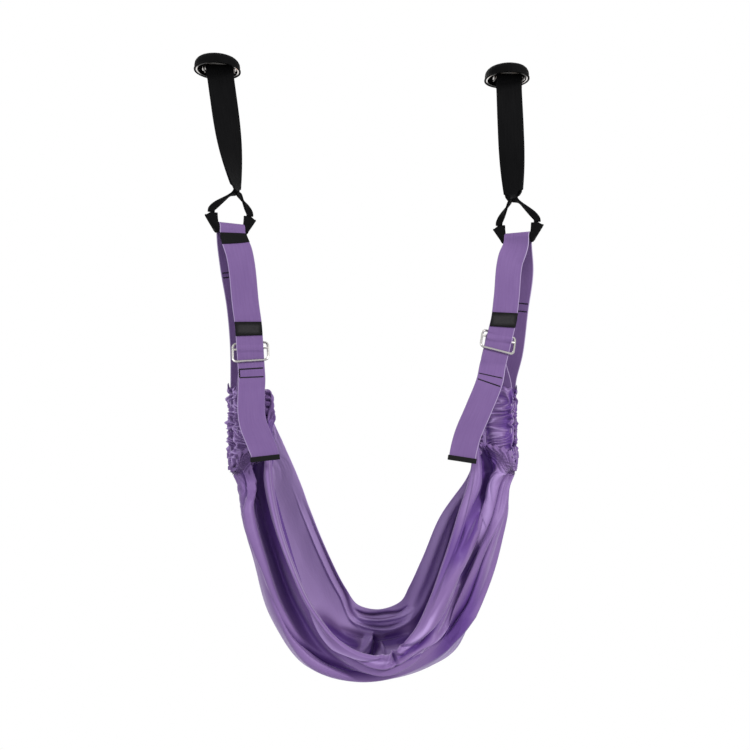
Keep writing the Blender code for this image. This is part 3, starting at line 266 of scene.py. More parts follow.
class SmoothCurve:
    """A curve through points, whose slope at each is weighed by the spans beside it."""

    def __init__(self, points: Iterable[Sequence[float]]) -> None:
        """Keep the points and work out their slopes.

        Args:
            points: The places that the curve runs through, in order.
        """
        self.points = [Vector(point) for point in points]
        self.spans = [max((end - start).length, 1e-9) for start, end in zip(self.points, self.points[1:])]
        legs = [(end - start) / span for start, end, span in zip(self.points, self.points[1:], self.spans)]
        self.slopes = [legs[0]]
        for index in range(1, len(legs)):
            near, far = self.spans[index - 1], self.spans[index]
            self.slopes.append((legs[index - 1] * far + legs[index] * near) / (near + far))
        self.slopes.append(legs[-1])

    def at(self, place: float) -> Vector:
        """Return the point at a place counted in spans from the start.

        Args:
            place: The place, counted in spans from the start.

        Returns:
            The point there.
        """
        index = min(int(place), len(self.spans) - 1)
        t = place - index
        span = self.spans[index]
        return (self.points[index] * (2 * t ** 3 - 3 * t ** 2 + 1)
                + self.slopes[index] * span * (t ** 3 - 2 * t ** 2 + t)
                + self.points[index + 1] * (3 * t ** 2 - 2 * t ** 3)
                + self.slopes[index + 1] * span * (t ** 3 - t ** 2))

    def share(self, share: float) -> Vector:
        """Return the point at a share of the number of spans."""
        return self.at(share * len(self.spans))


def smooth_path(points: Iterable[Sequence[float]], steps: int) -> list[Vector]:
    """Return points along a smooth curve through the given ones, with steps stretches in each span."""
    curve = SmoothCurve(points)
    return [curve.at(index / steps) for index in range(len(curve.spans) * steps + 1)]


def bezier_path(start: Vector, leaving: Vector, arriving: Vector, end: Vector, steps: int) -> list[Vector]:
    """Return points along one cubic curve, set by its ends and its two handles.

    Args:
        start: The first point.
        leaving: The first point's handle.
        arriving: The last point's handle.
        end: The last point.
        steps: How many stretches the path has.

    Returns:
        The points, both ends among them.
    """
    path = []
    for step in range(steps + 1):
        t = step / steps
        path.append(start * (1 - t) ** 3 + leaving * 3 * t * (1 - t) ** 2 + arriving * 3 * t * t * (1 - t)
                    + end * t ** 3)
    return path


def yaw_vector(angle: float) -> Vector:
    """Return the level direction at an angle from +X."""
    return Vector((math.cos(angle), math.sin(angle), 0.0))


def front_vector(angle: float) -> Vector:
    """Return the level direction that a strap of this yaw faces, towards the viewer."""
    return Vector((math.sin(angle), -math.cos(angle), 0.0))


def ease(value: float) -> float:
    """Blend from 0 to 1 with no corner at either end."""
    value = min(max(value, 0.0), 1.0)
    return value * value * (3 - 2 * value)


@dataclass
class Frame:
    """One cross-section's place along a strip."""

    point: Vector
    guide: Vector
    width: float = SIZES.strap_width
    thickness: float = SIZES.strap_thickness
    across: Vector = field(default_factory=Vector)
    normal: Vector = field(default_factory=Vector)

    def outward(self) -> Vector:
        """Return the direction of the strip's face that the viewer sees."""
        return self.normal if self.normal.y < 0 else -self.normal


def settle_frames(frames: list[Frame]) -> list[Frame]:
    """Work out each frame's across and normal directions from its neighbours and its guide.

    Args:
        frames: The frames, in order.

    Returns:
        The same frames.
    """
    last = len(frames) - 1
    for index, frame in enumerate(frames):
        along = (frames[min(index + 1, last)].point - frames[max(index - 1, 0)].point).normalized()
        frame.across = (frame.guide - along * frame.guide.dot(along)).normalized()
        frame.normal = along.cross(frame.across).normalized()
    return frames


def nearest_frame(frames: list[Frame], height: float) -> Frame:
    """Return the frame that lies nearest to a height."""
    return min(frames, key=lambda frame: abs(frame.point.z - height))


def resample(frames: list[Frame], pitch: float) -> list[Frame]:
    """Return frames at an even pitch along the same strip.

    Args:
        frames: The frames of a strip.
        pitch: The distance between two new frames.

    Returns:
        The new frames, settled.
    """
    lengths = [0.0]
    for before, after in zip(frames, frames[1:]):
        lengths.append(lengths[-1] + (after.point - before.point).length)
    count = max(int(round(lengths[-1] / pitch)), 2)
    result, index = [], 0
    for step in range(count + 1):
        target = lengths[-1] * step / count
        while index < len(frames) - 2 and lengths[index + 1] < target:
            index += 1
        span = max(lengths[index + 1] - lengths[index], 1e-9)
        share = min(max((target - lengths[index]) / span, 0.0), 1.0)
        first, second = frames[index], frames[index + 1]
        result.append(Frame(
            first.point.lerp(second.point, share),
            first.guide.lerp(second.guide, share),
            first.width + (second.width - first.width) * share,
            first.thickness + (second.thickness - first.thickness) * share,
        ))
    return settle_frames(result)


def grid_mesh(name: str, points: np.ndarray, uv: np.ndarray, ring: bool = False, caps: bool = False,
              flip: bool = False) -> Mesh:
    """Make a mesh from a grid of points.

    Args:
        name: The mesh's name.
        points: Rows by columns by 3.
        uv: Rows by columns by 2, one pair for each point.
        ring: Whether the last column joins the first.
        caps: Whether the first and last rows are closed with one face each.
        flip: Whether the faces turn over.

    Returns:
        The mesh, smooth shaded.
    """
    rows, columns = points.shape[:2]
    index = np.arange(rows * columns).reshape(rows, columns)
    if ring:
        index = np.concatenate([index, index[:, :1]], axis=1)
    quads = np.stack([index[:-1, :-1], index[:-1, 1:], index[1:, 1:], index[1:, :-1]], axis=-1).reshape(-1, 4)
    if flip:
        quads = quads[:, ::-1]
    faces = quads.tolist()
    if caps:
        faces += [index[0, :columns].tolist()[::-1], index[-1, :columns].tolist()]
    mesh = bpy.data.meshes.new(name)
    mesh.from_pydata(points.reshape(-1, 3).tolist(), [], faces)
    layer = mesh.uv_layers.new(name="UVMap")
    corners = np.zeros(len(mesh.loops), dtype=np.int32)
    mesh.loops.foreach_get("vertex_index", corners)
    layer.data.foreach_set("uv", uv.reshape(-1, 2)[corners].astype(np.float32).ravel())
    mesh.shade_smooth()
    mesh.update()
    return mesh


def set_shade(mesh: Mesh, values: np.ndarray) -> None:
    """Store each point's shade: 1 in the depth of a fold, below 0 where light gathers."""
    attribute = mesh.attributes.new(SHADE_NAME, "FLOAT", "POINT")
    attribute.data.foreach_set("value", values.astype(np.float32).ravel())


def new_object(name: str, mesh: Mesh, material: Material) -> Object:
    """Link a mesh as an object with its material.

    Args:
        name: The object's name.
        mesh: Its mesh.
        material: Its finish.

    Returns:
        The new object.
    """
    obj = bpy.data.objects.new(name, mesh)
    mesh.materials.append(material)
    bpy.context.scene.collection.objects.link(obj)
    return obj


def thicken(obj: Object, thickness: float, offset: float) -> None:
    """Make a sheet solid, about its surface where the offset is 0 and behind it where it is -1."""
    solid = obj.modifiers.new("thickness", "SOLIDIFY")
    solid.thickness, solid.offset = thickness, offset


def webbing_section() -> list[tuple[float, float]]:
    """Return a woven strap's section: flat faces and a rounded, slightly beaded selvedge.

    Returns:
        Pairs of a share of the half width and a share of the half thickness, round the section.
    """
    steps = 14
    edge = [(-1.0, 0.0), (-0.992, 0.72), (-0.972, 1.1), (-0.945, 1.08)]
    flat = [(-0.92 + 1.84 * step / steps, 1.0) for step in range(steps + 1)]
    upper = edge + flat + [(-u, v) for u, v in edge[:0:-1]]
    return upper + [(-u, -v) for u, v in upper]


def strip_object(name: str, frames: list[Frame], material: Material) -> Object:
    """Make a strip of webbing along its frames.

    Args:
        name: The object's name.
        frames: The settled frames, in order.
        material: Its finish.

    Returns:
        The new object.
    """
    section = webbing_section()
    points = np.zeros((len(frames), len(section), 3))
    uv = np.zeros((len(frames), len(section), 2))
    length = 0.0
    for row, frame in enumerate(frames):
        if row:
            length += (frame.point - frames[row - 1].point).length
        for column, (u, v) in enumerate(section):
            points[row, column] = (frame.point + frame.across * (u * frame.width / 2)
                                   + frame.normal * (v * frame.thickness / 2))
            uv[row, column] = (u * frame.width / 2, length)
    return new_object(name, grid_mesh(name, points, uv, ring=True, caps=True), material)


def tube_mesh(path: Sequence[Vector], radius: float) -> Mesh:
    """Make a six-sided tube of thread along a path.

    Args:
        path: The centreline.
        radius: The thread's radius.

    Returns:
        The mesh, closed at both ends.
    """
    last, sides = len(path) - 1, 6
    points = np.zeros((len(path), sides, 3))
    uv = np.zeros((len(path), sides, 2))
    side = None
    length = 0.0
    for row, point in enumerate(path):
        along = (path[min(row + 1, last)] - path[max(row - 1, 0)]).normalized()
        if side is None:
            side = along.orthogonal().normalized()
        side = (side - along * side.dot(along)).normalized()
        other = along.cross(side)
        if row:
            length += (point - path[row - 1]).length
        for column in range(sides):
            angle = 2 * math.pi * column / sides
            points[row, column] = point + (side * math.cos(angle) + other * math.sin(angle)) * radius
            uv[row, column] = (angle * radius, length)
    return grid_mesh("stitch", points, uv, ring=True, caps=True)


def join_meshes(name: str, meshes: Sequence[Mesh],
                material: Material) -> Object:
    """Join meshes in one object, keeping their coordinates for the weave.

    Args:
        name: The object's name.
        meshes: The meshes, which are used up.
        material: Its finish.

    Returns:
        The new object.
    """
    shape = bmesh.new()
    for mesh in meshes:
        shape.from_mesh(mesh)
        bpy.data.meshes.remove(mesh)
    joined = bpy.data.meshes.new(name)
    shape.to_mesh(joined)
    shape.free()
    joined.shade_smooth()
    return new_object(name, joined, material)


# Shader helpers


class NodeGraph:
    """Adds and joins shader nodes in one tree."""

    def __init__(self, tree: NodeTree) -> None:
        """Keep the tree that nodes are added to."""
        self.tree = tree

    def feed(self, node: Node, inputs: dict) -> None:
        """Link or set a node's inputs.

        Args:
            node: The node.
            inputs: Values or sockets by name or number.
        """
        for key, value in inputs.items():
            if isinstance(value, NodeSocket):
                self.tree.links.new(value, node.inputs[key])
            else:
                node.inputs[key].default_value = value

    def add(self, kind: str, inputs: dict | None = None, **settings: object) -> Node:
        """Add a node.

        Args:
            kind: The node's class name after ShaderNode.
            inputs: Values or sockets by name or number.
            **settings: Attributes of the node.

        Returns:
            The node.
        """
        node = self.tree.nodes.new("ShaderNode" + kind)
        for name, value in settings.items():
            setattr(node, name, value)
        self.feed(node, inputs or {})
        return node

    def math(self, operation: str, first: Value, second: Value = 0.0,
             third: Value = 0.0) -> NodeSocket:
        """Add a Math node and return its output."""
        return self.add("Math", {0: first, 1: second, 2: third}, operation=operation).outputs[0]

    def mix(self, factor: Value, first: Tint, second: Tint) -> NodeSocket:
        """Mix two colours and return the result."""
        return self.add("Mix", {0: factor, 6: first, 7: second}, data_type="RGBA").outputs[2]

    def remap(self, value: Value, low: float, high: float, to_low: float = 0.0,
              to_high: float = 1.0) -> NodeSocket:
        """Map a value smoothly from one range to another."""
        return self.add("MapRange", {0: value, 1: low, 2: high, 3: to_low, 4: to_high},
                        interpolation_type="SMOOTHSTEP").outputs[0]

    def noise(self, vector: NodeSocket, scale: Value, detail: float = 2.0,
              rough: float = 0.5) -> NodeSocket:
        """Add a Noise texture and return its value."""
        return self.add("TexNoise", {"Vector": vector, "Scale": scale, "Detail": detail,
                                               "Roughness": rough}).outputs["Fac"]

    def scaled(self, vector: NodeSocket, scale: Sequence[float]) -> NodeSocket:
        """Scale a vector along its axes and return the result."""
        return self.add("Mapping", {"Vector": vector, "Scale": scale}).outputs[0]

    def split(self, vector: NodeSocket) -> Sequence[NodeSocket]:
        """Part a vector and return its three values."""
        return self.add("SeparateXYZ", {0: vector}).outputs

    def place(self, kind: str) -> NodeSocket:
        """Return the surface's own coordinates: UV, Object or Generated."""
        return self.add("TexCoord").outputs[kind]

    def wave(self, value: NodeSocket, pitch: Value) -> NodeSocket:
        """Return a sine of a value that repeats at a pitch."""
        turns = self.math("DIVIDE", value, pitch)
        return self.math("SINE", self.math("MULTIPLY", turns, 2 * math.pi))

    def from_middle(self, value: NodeSocket) -> NodeSocket:
        """Return how far a share lies from one half."""
        return self.math("ABSOLUTE", self.math("SUBTRACT", value, 0.5))


def new_group(name: str, inputs: Sequence[tuple], outputs: Sequence[str]) -> tuple:
    """Make a shader node group.

    Args:
        name: The group's name.
        inputs: Each number's name and default value. Every group also takes a Vector.
        outputs: The names of the values that it puts out.

    Returns:
        The group, its graph, its input node and its output node.
    """
    group = bpy.data.node_groups.new(name, "ShaderNodeTree")
    group.interface.new_socket("Vector", in_out="INPUT", socket_type="NodeSocketVector")
    for label, default in inputs:
        socket = group.interface.new_socket(label, in_out="INPUT", socket_type="NodeSocketFloat")
        socket.default_value = default
    for label in outputs:
        group.interface.new_socket(label, in_out="OUTPUT", socket_type="NodeSocketFloat")
    graph = NodeGraph(group)
    return group, graph, group.nodes.new("NodeGroupInput"), group.nodes.new("NodeGroupOutput")


def weave_group() -> NodeTree:
    """Make the weave of webbing: ribs along the strap crossed by weft, and a mask of its selvedges.

    Returns:
        The group.
    """
    group, graph, source, result = new_group(
        "webbing_weave",
        [("Rib Pitch", 0.0013), ("Weft Pitch", 0.0018), ("Half Width", 0.025), ("Highlight Side", 0.0)],
        ["Height", "Selvedge", "Mottle"])
    pick_depth = 0.22
    selvedge_width, selvedge_rim = 0.002, 0.0006
    dull_side_share = 0.12
    vector = source.outputs["Vector"]
    split = graph.split(vector)
    across = graph.math("DIVIDE", split[0], source.outputs["Rib Pitch"])
    along = graph.math("DIVIDE", split[1], source.outputs["Weft Pitch"])
    shift = graph.math("MULTIPLY", graph.math("FLOOR", across), 0.5)
    rib = graph.math("ABSOLUTE", graph.math("SINE", graph.math("MULTIPLY", across, math.pi)))
    pick = graph.wave(graph.math("ADD", along, shift), 1.0)
    height = graph.math("MULTIPLY", rib, graph.math("MULTIPLY_ADD", pick, pick_depth, 1 - pick_depth))
    reach = graph.math("SUBTRACT", source.outputs["Half Width"], graph.math("ABSOLUTE", split[0]))
    # The selvedge on the highlight side gets a painted highlight; the other keeps a faint lighter edge
    side = graph.math("MULTIPLY", split[0], source.outputs["Highlight Side"])
    favour = graph.remap(side, -0.01, 0.01, dull_side_share, 1.0)
    edge = graph.math("MULTIPLY", graph.remap(reach, selvedge_width, selvedge_rim), favour)
    streaks = graph.noise(graph.scaled(vector, (420.0, 18.0, 1.0)), 1.0, 3.0)
    clouds = graph.noise(graph.scaled(vector, (26.0, 16.0, 1.0)), 1.0, 2.0)
    mottle = graph.math("MULTIPLY_ADD", streaks, 0.6, graph.math("MULTIPLY", clouds, 0.4))
    graph.feed(result, {"Height": height, "Selvedge": edge, "Mottle": mottle})
    return group


def knit_group() -> NodeTree:
    """Make the knit of the cloth: wales along it, courses across, and slow changes of tone.

    Returns:
        The group.
    """
    group, graph, source, result = new_group("tricot_knit", [("Pitch", 0.0011)],
                                             ["Height", "Tone", "Crinkle"])
    stitch_height, wale_height = 0.25, 0.2
    vector = source.outputs["Vector"]
    split = graph.split(vector)
    wale = graph.wave(split[1], source.outputs["Pitch"])
    course = graph.wave(split[0], source.outputs["Pitch"])
    height = graph.math("MULTIPLY_ADD", graph.math("MULTIPLY", wale, course), stitch_height,
                        graph.math("MULTIPLY_ADD", wale, wale_height, 0.5))
    tone = graph.noise(graph.scaled(vector, (5.0, 11.0, 1.0)), 1.0, 4.0, 0.55)
    crinkle = graph.noise(graph.scaled(vector, (26.0, 120.0, 1.0)), 1.0, 3.0, 0.6)
    graph.feed(result, {"Height": height, "Tone": tone, "Crinkle": crinkle})
    return group


def wear_group() -> NodeTree:
    """Make the wear of hard parts: fine grain, faint scratches and settled dust.

    Returns:
        The group.
    """
    group, graph, source, result = new_group("hard_wear", [("Grain Scale", 900.0), ("Scratch Scale", 60.0)],
                                             ["Grain", "Scratches", "Dust"])
    vector = source.outputs["Vector"]
    grain = graph.noise(vector, source.outputs["Grain Scale"], 3.0)
    lines = graph.noise(graph.scaled(vector, (1.0, 1.0, 14.0)), source.outputs["Scratch Scale"], 6.0, 0.7)
    dust = graph.noise(vector, 38.0, 5.0, 0.65)
    graph.feed(result, {"Grain": grain, "Scratches": graph.remap(lines, 0.52, 0.68),
                        "Dust": graph.remap(dust, 0.48, 0.75)})
    return group


def pebble_group() -> NodeTree:
    """Make the pebbled grain of synthetic leather.

    Returns:
        The group.
    """
    group, graph, source, result = new_group("leather_pebbles", [("Scale", 620.0)], ["Height", "Crease"])
    vector = source.outputs["Vector"]
    cells = graph.add("TexVoronoi", {"Vector": vector, "Scale": source.outputs["Scale"]},
                      feature="DISTANCE_TO_EDGE")
    graph.feed(result, {"Height": graph.remap(cells.outputs["Distance"], 0.0, 0.25),
                        "Crease": graph.noise(vector, 90.0, 4.0)})
    return group


@dataclass(frozen=True)
class WebbingLook:
    """Colours and surface of one webbing."""

    name: str
    base: Rgb
    deep: Rgb
    # edge: the selvedges' lighter colour, a painted highlight on the highlight side, and the sheen's tint
    edge: Rgb
    rib_pitch: float = 0.0013
    weft_pitch: float = 0.0018
    half_width: float = 0.025
    # Which selvedge takes a painted highlight: -1 the left, 1 the right, 0 both a little
    highlight_side: float = 0.0
    edge_strength: float = 0.8
    roughness: float = 0.74
    sheen: float = 0.12
    sheen_roughness: float = 0.45
    bump: float = 0.35
    specular: float = 0.22


@dataclass(frozen=True)
class ClothLook:
    """Colours and surface of the satin cloth."""

    name: str
    base: Rgb
    deep: Rgb
    # light is the colour of the painted sheen edge-on, and the tint of the real sheen
    light: Rgb
    # depth: painted shade colour in folds; lit: painted light colour; both mixed in by fold_shade
    depth: Rgb
    lit: Rgb
    depth_strength: float = 0.85
    painted_sheen: float = 0.3
    knit_bump: float = 0.16
    wrinkle_bump: float = 0.35
    roughness: float = 0.48
    specular: float = 0.36
    specular_tint: Rgb = (0.82, 0.72, 1.0)
    sheen: float = 0.22
    sheen_roughness: float = 0.32


@dataclass(frozen=True)
class HardLook:
    """Colours and surface of a metal, a plastic, a thread or leather."""

    name: str
    base: Rgb
    worn: Rgb
    metallic: float
    roughness: float
    grain_scale: float = 900.0
    bump: float = 0.1
    dust: float = 0.1
    scratches: float = 0.22
    specular: float = 0.5
    # Whether the middle is painted dark as painted shade, leaving the sides bright for their glints
    glint_sides: bool = False


class Finish(Enum):
    """Every finish in the scene."""

    LEFT_WEBBING = WebbingLook("left_purple_webbing", (0.214, 0.128, 0.306), (0.128, 0.069, 0.206),
                               (0.44, 0.35, 0.55), highlight_side=-1.0)
    RIGHT_WEBBING = WebbingLook("right_purple_webbing", (0.214, 0.128, 0.306), (0.128, 0.069, 0.206),
                                (0.48, 0.39, 0.58), highlight_side=1.0)
    BLACK_WEBBING = WebbingLook("black_webbing", (0.0018, 0.0018, 0.0022), (0.0007, 0.0007, 0.0009),
                                (0.006, 0.006, 0.008), edge_strength=0.5, roughness=0.85, sheen=0.02,
                                specular=0.1)
    LABEL = WebbingLook("woven_label", (0.0016, 0.0015, 0.002), (0.0006, 0.0006, 0.0009),
                        (0.008, 0.007, 0.009), rib_pitch=0.0005, weft_pitch=0.0006, half_width=0.0258,
                        edge_strength=0.5, sheen=0.03, specular=0.14)
    # The cloth's last two colours: painted shade in folds, and painted light
    CLOTH = ClothLook("purple_tricot", (0.226, 0.136, 0.326), (0.154, 0.083, 0.244), (0.56, 0.46, 0.68),
                      (0.088, 0.03, 0.206), (0.46, 0.32, 0.62))
    THREAD = HardLook("black_thread", (0.004, 0.004, 0.005), (0.012, 0.012, 0.014), 0.0, 0.8, 2500.0,
                      specular=0.2)
    BLACK_METAL = HardLook("black_powder_coat", (0.001, 0.001, 0.0011), (0.004, 0.004, 0.0042), 0.0, 0.66,
                           1500.0, 0.25, 0.2, specular=0.05)
    # Orange-brown patches cover much of the liner's zinc
    # The liner's middle is painted dark as painted shade, leaving its sides bright
    LINER = HardLook("orange_patched_zinc", (0.72, 0.7, 0.68), (0.42, 0.2, 0.1), 1.0, 0.24, 260.0, 0.06, 0.8,
                     glint_sides=True)
    DULL_METAL = HardLook("dulled_zinc", (0.09, 0.085, 0.08), (0.16, 0.09, 0.05), 1.0, 0.38, 260.0, 0.06,
                          0.6)
    BRIGHT_METAL = HardLook("bright_zinc", (0.62, 0.6, 0.575), (0.4, 0.33, 0.26), 1.0, 0.24, 500.0, 0.06,
                            0.3)
    BAR_METAL = HardLook("dark_tube", (0.014, 0.014, 0.016), (0.05, 0.049, 0.047), 0.5, 0.42, 900.0)
    NICKEL = HardLook("nickel_wire", (0.46, 0.45, 0.43), (0.25, 0.235, 0.21), 1.0, 0.27, 700.0, 0.08, 0.35)
    PLASTIC = HardLook("black_plastic", (0.0022, 0.0022, 0.0025), (0.008, 0.008, 0.009), 0.0, 0.55, 1600.0,
                       0.3, specular=0.14)
    # The leather's base colour is its painted highlight; worn is its own dark colour
    LEATHER = HardLook("pebbled_leather", (0.029, 0.0275, 0.029), (0.001, 0.001, 0.0012), 0.0, 0.52,
                       bump=0.5, specular=0.12)


class Finishes:
    """Builds each material once, when it is first asked for."""

    def __init__(self) -> None:
        """Make the shared groups."""
        self.weave = weave_group()
        self.knit = knit_group()
        self.wear = wear_group()
        self.pebbles = pebble_group()
        self.made: dict[Finish, Material] = {}

    def get(self, finish: Finish) -> Material:
        """Return the material of a finish."""
        if finish not in self.made:
            makers = {WebbingLook: self.webbing, ClothLook: self.cloth, HardLook: self.hard}
            make = self.leather if finish is Finish.LEATHER else makers[type(finish.value)]
            self.made[finish] = make(finish.value)
        return self.made[finish]

    @staticmethod
    def start(name: str) -> tuple:
        """Make an empty Principled material.

        Args:
            name: The material's name.

        Returns:
            The material, its graph and its Principled node.
        """
        material = bpy.data.materials.new(name)
        material.use_nodes = True
        tree = material.node_tree
        return material, NodeGraph(tree), tree.nodes["Principled BSDF"]

    def webbing(self, look: WebbingLook) -> Material:
        """Make a woven webbing, with painted shade between its ribs and a painted highlight on one selvedge.

        Args:
            look: Its colours and surface.

        Returns:
            The material.
        """
        material, graph, shader = self.start(look.name)
        weave = graph.add("Group", {"Vector": graph.place("UV"), "Rib Pitch": look.rib_pitch,
                                              "Weft Pitch": look.weft_pitch, "Half Width": look.half_width,
                                              "Highlight Side": look.highlight_side}, node_tree=self.weave)
        height, mottle = weave.outputs["Height"], weave.outputs["Mottle"]
        tone = graph.math("MULTIPLY_ADD", mottle, 0.9, 0.08)
        # Darker between the ribs: painted shade in the weave's hollows
        tone = graph.math("MULTIPLY", tone, graph.remap(height, 0.0, 0.8, 0.62, 1.12))
        colour = graph.mix(tone, (*look.deep, 1.0), (*look.base, 1.0))
        edge = graph.math("MULTIPLY", weave.outputs["Selvedge"], look.edge_strength)
        bump = graph.add("Bump", {"Height": height, "Strength": look.bump, "Distance": 0.0006})
        graph.feed(shader, {
            "Base Color": graph.mix(edge, colour, (*look.edge, 1.0)),
            "Normal": bump.outputs[0],
            "Roughness": graph.remap(mottle, 0.2, 0.8, look.roughness + 0.08, look.roughness - 0.08),
            "Specular IOR Level": look.specular,
            "Sheen Weight": look.sheen,
            "Sheen Roughness": look.sheen_roughness,
            "Sheen Tint": (*look.edge, 1.0),
        })
        return material

    def cloth(self, look: ClothLook) -> Material:
        """Make the satin tricot: painted shade in folds, painted light inside, painted sheen edge-on.

        Args:
            look: Its colours and surface.

        Returns:
            The material.
        """
        material, graph, shader = self.start(look.name)
        knit = graph.add("Group", {"Vector": graph.place("UV")}, node_tree=self.knit)
        tone = graph.remap(knit.outputs["Tone"], 0.32, 0.68, 0.55, 1.0)
        body = graph.mix(tone, (*look.deep, 1.0), (*look.base, 1.0))
        # Painted light where fold_shade is below 0, painted shade where it is above 0
        shade = graph.add("Attribute", attribute_name=SHADE_NAME).outputs["Fac"]
        body = graph.mix(graph.remap(shade, 0.0, -1.0), body, (*look.lit, 1.0))
        in_fold = graph.math("MULTIPLY", graph.remap(shade, 0.0, 1.0), look.depth_strength)
        body = graph.mix(in_fold, body, (*look.depth, 1.0))
        # Painted sheen: the colour turns towards the light colour where the surface is edge-on to the view
        facing = graph.add("LayerWeight", {"Blend": 0.5}).outputs["Facing"]
        painted_sheen = graph.math("MULTIPLY", graph.remap(facing, 0.45, 1.0), look.painted_sheen)
        bump = graph.add("Bump", {"Height": knit.outputs["Height"], "Strength": look.knit_bump,
                                            "Distance": 0.0003})
        wrinkles = graph.add("Bump", {"Height": knit.outputs["Crinkle"],
                                                "Strength": look.wrinkle_bump, "Distance": 0.0012,
                                                "Normal": bump.outputs[0]})
        graph.feed(shader, {
            "Base Color": graph.mix(painted_sheen, body, (*look.light, 1.0)),
            "Normal": wrinkles.outputs[0],
            "Roughness": graph.remap(knit.outputs["Tone"], 0.3, 0.7, look.roughness + 0.06,
                                     look.roughness - 0.05),
            "Specular IOR Level": look.specular,
            "Specular Tint": (*look.specular_tint, 1.0),
            "Sheen Weight": look.sheen,
            "Sheen Roughness": look.sheen_roughness,
            "Sheen Tint": (*look.light, 1.0),
        })
        return material

    def hard(self, look: HardLook) -> Material:
        """Make a metal, a plastic or a thread.

        Args:
            look: Its colours and surface.

        Returns:
            The material.
        """
        shadowed = (0.012, 0.011, 0.01, 1.0)
        material, graph, shader = self.start(look.name)
        wear = graph.add("Group", {"Vector": graph.place("Object"),
                                             "Grain Scale": look.grain_scale}, node_tree=self.wear)
        grain = wear.outputs["Grain"]
        amount = graph.math("MULTIPLY", wear.outputs["Dust"], look.dust)
        amount = graph.math("MULTIPLY_ADD", wear.outputs["Scratches"], look.scratches, amount)
        colour = graph.mix(amount, (*look.base, 1.0), (*look.worn, 1.0))
        # Painted shade over the middle of the part, leaving its sides bright
        if look.glint_sides:
            off_centre = graph.from_middle(graph.split(graph.place("Generated"))[0])
            colour = graph.mix(graph.remap(off_centre, 0.47, 0.4), colour, shadowed)
        bump = graph.add("Bump", {"Height": grain, "Strength": look.bump, "Distance": 0.0003})
        graph.feed(shader, {
            "Base Color": colour,
            "Normal": bump.outputs[0],
            "Roughness": graph.remap(grain, 0.3, 0.7, look.roughness - 0.07, look.roughness + 0.1),
            "Metallic": look.metallic,
            "Specular IOR Level": look.specular,
        })
        return material

    def leather(self, look: HardLook) -> Material:
        """Make pebbled leather, with a painted highlight in the middle of the patch and on the pebbles' tops.

        Args:
            look: Its colours and surface.

        Returns:
            The material.
        """
        material, graph, shader = self.start(look.name)
        pebbles = graph.add("Group", {"Vector": graph.place("UV")}, node_tree=self.pebbles)
        height, crease = pebbles.outputs["Height"], pebbles.outputs["Crease"]
        split = graph.split(graph.place("Generated"))
        # Painted highlight: lighter in the middle of the patch and on the pebbles' tops
        middle = graph.math("MULTIPLY", graph.remap(graph.from_middle(split[0]), 0.46, 0.3),
                            graph.remap(graph.from_middle(split[2]), 0.4, 0.16))
        amount = graph.math("MULTIPLY", middle, graph.remap(height, 0.0, 1.0, 0.5, 1.0))
        bump = graph.add("Bump", {"Height": height, "Strength": look.bump, "Distance": 0.0004})
        graph.feed(shader, {
            "Base Color": graph.mix(amount, (*look.worn, 1.0), (*look.base, 1.0)),
            "Normal": bump.outputs[0],
            "Roughness": graph.remap(crease, 0.3, 0.7, look.roughness - 0.08, look.roughness + 0.1),
            "Specular IOR Level": look.specular,
        })
        return material


# Sub-assemblies


@dataclass
class HardParts:
    """The ceiling anchors, bars, adjusters and end caps, which keep their CAD shapes."""

    frame: dict
    finishes: Finishes

    FINISH_OF = {
        "anchor_cup": Finish.BLACK_METAL, "anchor_liner": Finish.LINER, "pin_bracket": Finish.DULL_METAL,
        "bracket_rivet_a": Finish.BRIGHT_METAL, "bracket_rivet_b": Finish.BRIGHT_METAL,
        "cross_pin": Finish.BRIGHT_METAL, "pin_ring": Finish.BRIGHT_METAL, "carry_bar": Finish.BAR_METAL,
        "bar_plug_inner": Finish.PLASTIC, "bar_plug_outer": Finish.PLASTIC, "adjuster": Finish.NICKEL,
        "end_cap": Finish.PLASTIC,
    }

    def paint(self, side: Side) -> list[str]:
        """Give one side's hard parts their finishes, and return their names."""
        for piece, finish in self.FINISH_OF.items():
            for slot in self.frame["nodes"][side.named(piece)].material_slots:
                slot.material = self.finishes.get(finish)
        return [side.named(piece) for piece in self.FINISH_OF]


